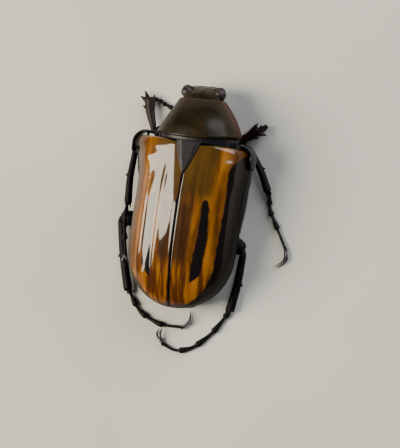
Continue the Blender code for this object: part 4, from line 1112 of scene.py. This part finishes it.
def case_point(x_share, y, side):
    """Point of a wing case, x counted outwards: its share runs from the seam to the rolled edge."""
    half = case_half(y, side)
    fall = math.sqrt(max(1 - max(1 - y / APEX_DROP, 0.0) ** 2, 0.0))
    margin = line_value(y, MARGIN_LINE)
    crown = margin + (line_value(y, CROWN_LINE) - margin) * fall
    inner = SEAM_X
    if y > SCUTELLUM_BASE - SCUTELLUM_LENGTH:
        inner = max(scutellum_half(y) + CASE_EDGE, SEAM_X)
    inner = min(inner, half * 0.5)
    start = math.asin((inner / half) ** (VAULT_POWER / 2))
    angle = start + (math.pi / 2 - start) * x_share
    x, z = vault(half, crown, margin, angle)
    outward = Vector((x / half, 0.0, 0.2 + (z - margin) / max(crown - margin, 0.1))).normalized()
    lift = 0.0
    for bump_x, bump_y, height, radius in BUMPS:
        lift += height * hump(x - bump_x, radius) * hump(y - bump_y, radius)
    fade = kept((y - COSTA_REAR) / 2.5) * kept((COSTA_FRONT - y) / 2.0)
    for costa_x, height in COSTAE:
        lift += fade * height * (hump(x - costa_x, 0.22) - hump(x - costa_x - 0.5, 0.22))
    seam_rise = SEAM_RISE * (hump(x - 0.2, 0.1) - hump(x - 0.45, 0.12))
    lift += seam_rise * kept((SEAM_RISE_END - y) / 4.0) * fall
    low = z - margin
    lift += (0.05 * hump(low - 0.12, 0.1) - 0.06 * hump(low - 0.42, 0.12)) * fall
    lift -= rounded(x - inner, CASE_EDGE)
    forward = FRONT_BOW * min(abs(x) / 3.0, 1.0) ** 1.5 \
        * max((y - SHIFT_FROM) / (FRONT_Y - SHIFT_FROM), 0.0) ** 2
    lift -= rounded(FRONT_Y - y, CASE_EDGE * 1.6)
    spot = Vector((x, y + forward, z)) + outward * lift
    spot.z = min(spot.z, CROWN_TOP)
    spot.x = max(spot.x, SEAM_X)
    return spot


rows = [APEX_Y, 0.05, 0.1, 0.17, 0.26, 0.37, 0.5, 0.65, 0.82, 1.0]
rows += steps(1.2, FRONT_Y - 0.25, 110)
rows += [FRONT_Y - short for short in (0.18, 0.12, 0.07, 0.03, 0.01, 0.0)]
columns = [0.0, 0.002, 0.005, 0.009, 0.014, 0.02, 0.028, 0.038] + steps(0.05, 1.0, 76)
for side, word in ((-1, "left"), (1, "right")):
    grid = []
    for y in rows:
        line = [case_point(share, y, side) for share in columns]
        rim = line[-1]
        line += [rim + Vector((-0.06, 0.0, -0.1)), rim + Vector((-0.18, 0.0, -0.16)),
                 rim + Vector((-0.34, 0.0, -0.16))]
        for spot in line:
            spot.x = side * max(spot.x, SEAM_X)
        grid.append(line)
    case = skin(f"elytron_{word}_case", grid, wrap=False, caps=False)
    wall = case.modifiers.new("wall", "SOLIDIFY")
    wall.thickness = CASE_WALL * MM
    wall.offset = -1.0
    wall.use_even_offset = True
    fit(case, [f"elytron_{word}"], wing_case_surface(word))


# Surroundings: a plain pale floor, a soft light low on the beetle's left, whose shine lies on its
# left wing case, a wide weaker one in front and to its right, and the camera above it.
VIEW_ROLL = math.radians(16.3)
VIEW_TURN = math.radians(9.5)
VIEW_LENS = 300.0
VIEW_HEIGHT_MM = 49.78       # the picture's long side, at the beetle
VIEW_TARGET = Vector((1.364, 9.682, 3.0))
LIGHT_TARGET = Vector((0.0, 0.0, 0.005))    # in metres, like the places of the lights
BOARD_HALF = 1.5                            # in metres


def floor_surface():
    """Matt pale board, with a faint unevenness of tone and grain."""
    surface = bpy.data.materials.new("floor_matt_board")
    surface.use_nodes = True
    tree = surface.node_tree
    where = add_node(tree, "TexCoord").outputs["Object"]
    grain = add_node(tree, "TexNoise", {"Vector": where, "Scale": 40.0, "Detail": 4.0})
    tone = add_node(tree, "ValToRGB", {0: grain}, (
        (0.3, linear("#c9cac2")), (0.7, linear("#d2d3cb"))))
    shader = tree.nodes["Principled BSDF"]
    shader.inputs["Roughness"].default_value = 0.75
    tree.links.new(tone.outputs[0], shader.inputs["Base Color"])
    return surface


mesh = bpy.data.meshes.new("floor")
mesh.from_pydata([(x * BOARD_HALF, y * BOARD_HALF, 0.0)
                  for x, y in ((-1, -1), (1, -1), (1, 1), (-1, 1))], [], [(0, 1, 2, 3)])
mesh.materials.append(floor_surface())
floor = in_scene("floor", mesh)

for name, place, size, slant, power, tint in (
        ("soft_light_left", (-0.4, -0.07, 0.43), (0.48, 0.29), 20, 6.2, "#fff3dd"),
        ("soft_light_front", (0.5, 0.66, 0.46), (0.9, 0.6), 0, 9.0, "#f7f8ff")):
    lamp = bpy.data.lights.new(name, "AREA")
    lamp.shape = "RECTANGLE"
    lamp.size, lamp.size_y = size
    lamp.energy = power
    lamp.color = linear(tint)[:3]
    back = (Vector(place) - LIGHT_TARGET).normalized()
    right = Vector((0, 1, 0)).cross(back).normalized()
    turn = Matrix((right, back.cross(right), back)).transposed().to_4x4()
    in_scene(name, lamp).matrix_world = Matrix.Translation(place) @ turn \
        @ Matrix.Rotation(math.radians(slant), 4, "Z")

world = bpy.data.worlds.new("studio")
world.use_nodes = True
bpy.context.scene.world = world
sky = world.node_tree.nodes["Background"]
sky.inputs["Color"].default_value = linear("#e8edf4")
sky.inputs["Strength"].default_value = 0.1

rolled, ahead = Vector((math.cos(VIEW_ROLL), 0.0, -math.sin(VIEW_ROLL))), Vector((0.0, 1.0, 0.0))
right = rolled * math.cos(VIEW_TURN) + ahead * math.sin(VIEW_TURN)
upward = ahead * math.cos(VIEW_TURN) - rolled * math.sin(VIEW_TURN)
back = right.cross(upward)
lens = bpy.data.cameras.new("camera")
lens.lens = VIEW_LENS
lens.sensor_width = 36.0
lens.clip_start = 0.01
lens.clip_end = 10.0
camera = in_scene("camera", lens)
far = VIEW_LENS / lens.sensor_width * VIEW_HEIGHT_MM * MM
camera.matrix_world = Matrix.Translation((VIEW_TARGET - MIDDLE) * MM + back * far) \
    @ Matrix((right, upward, back)).transposed().to_4x4()
bpy.context.scene.camera = camera
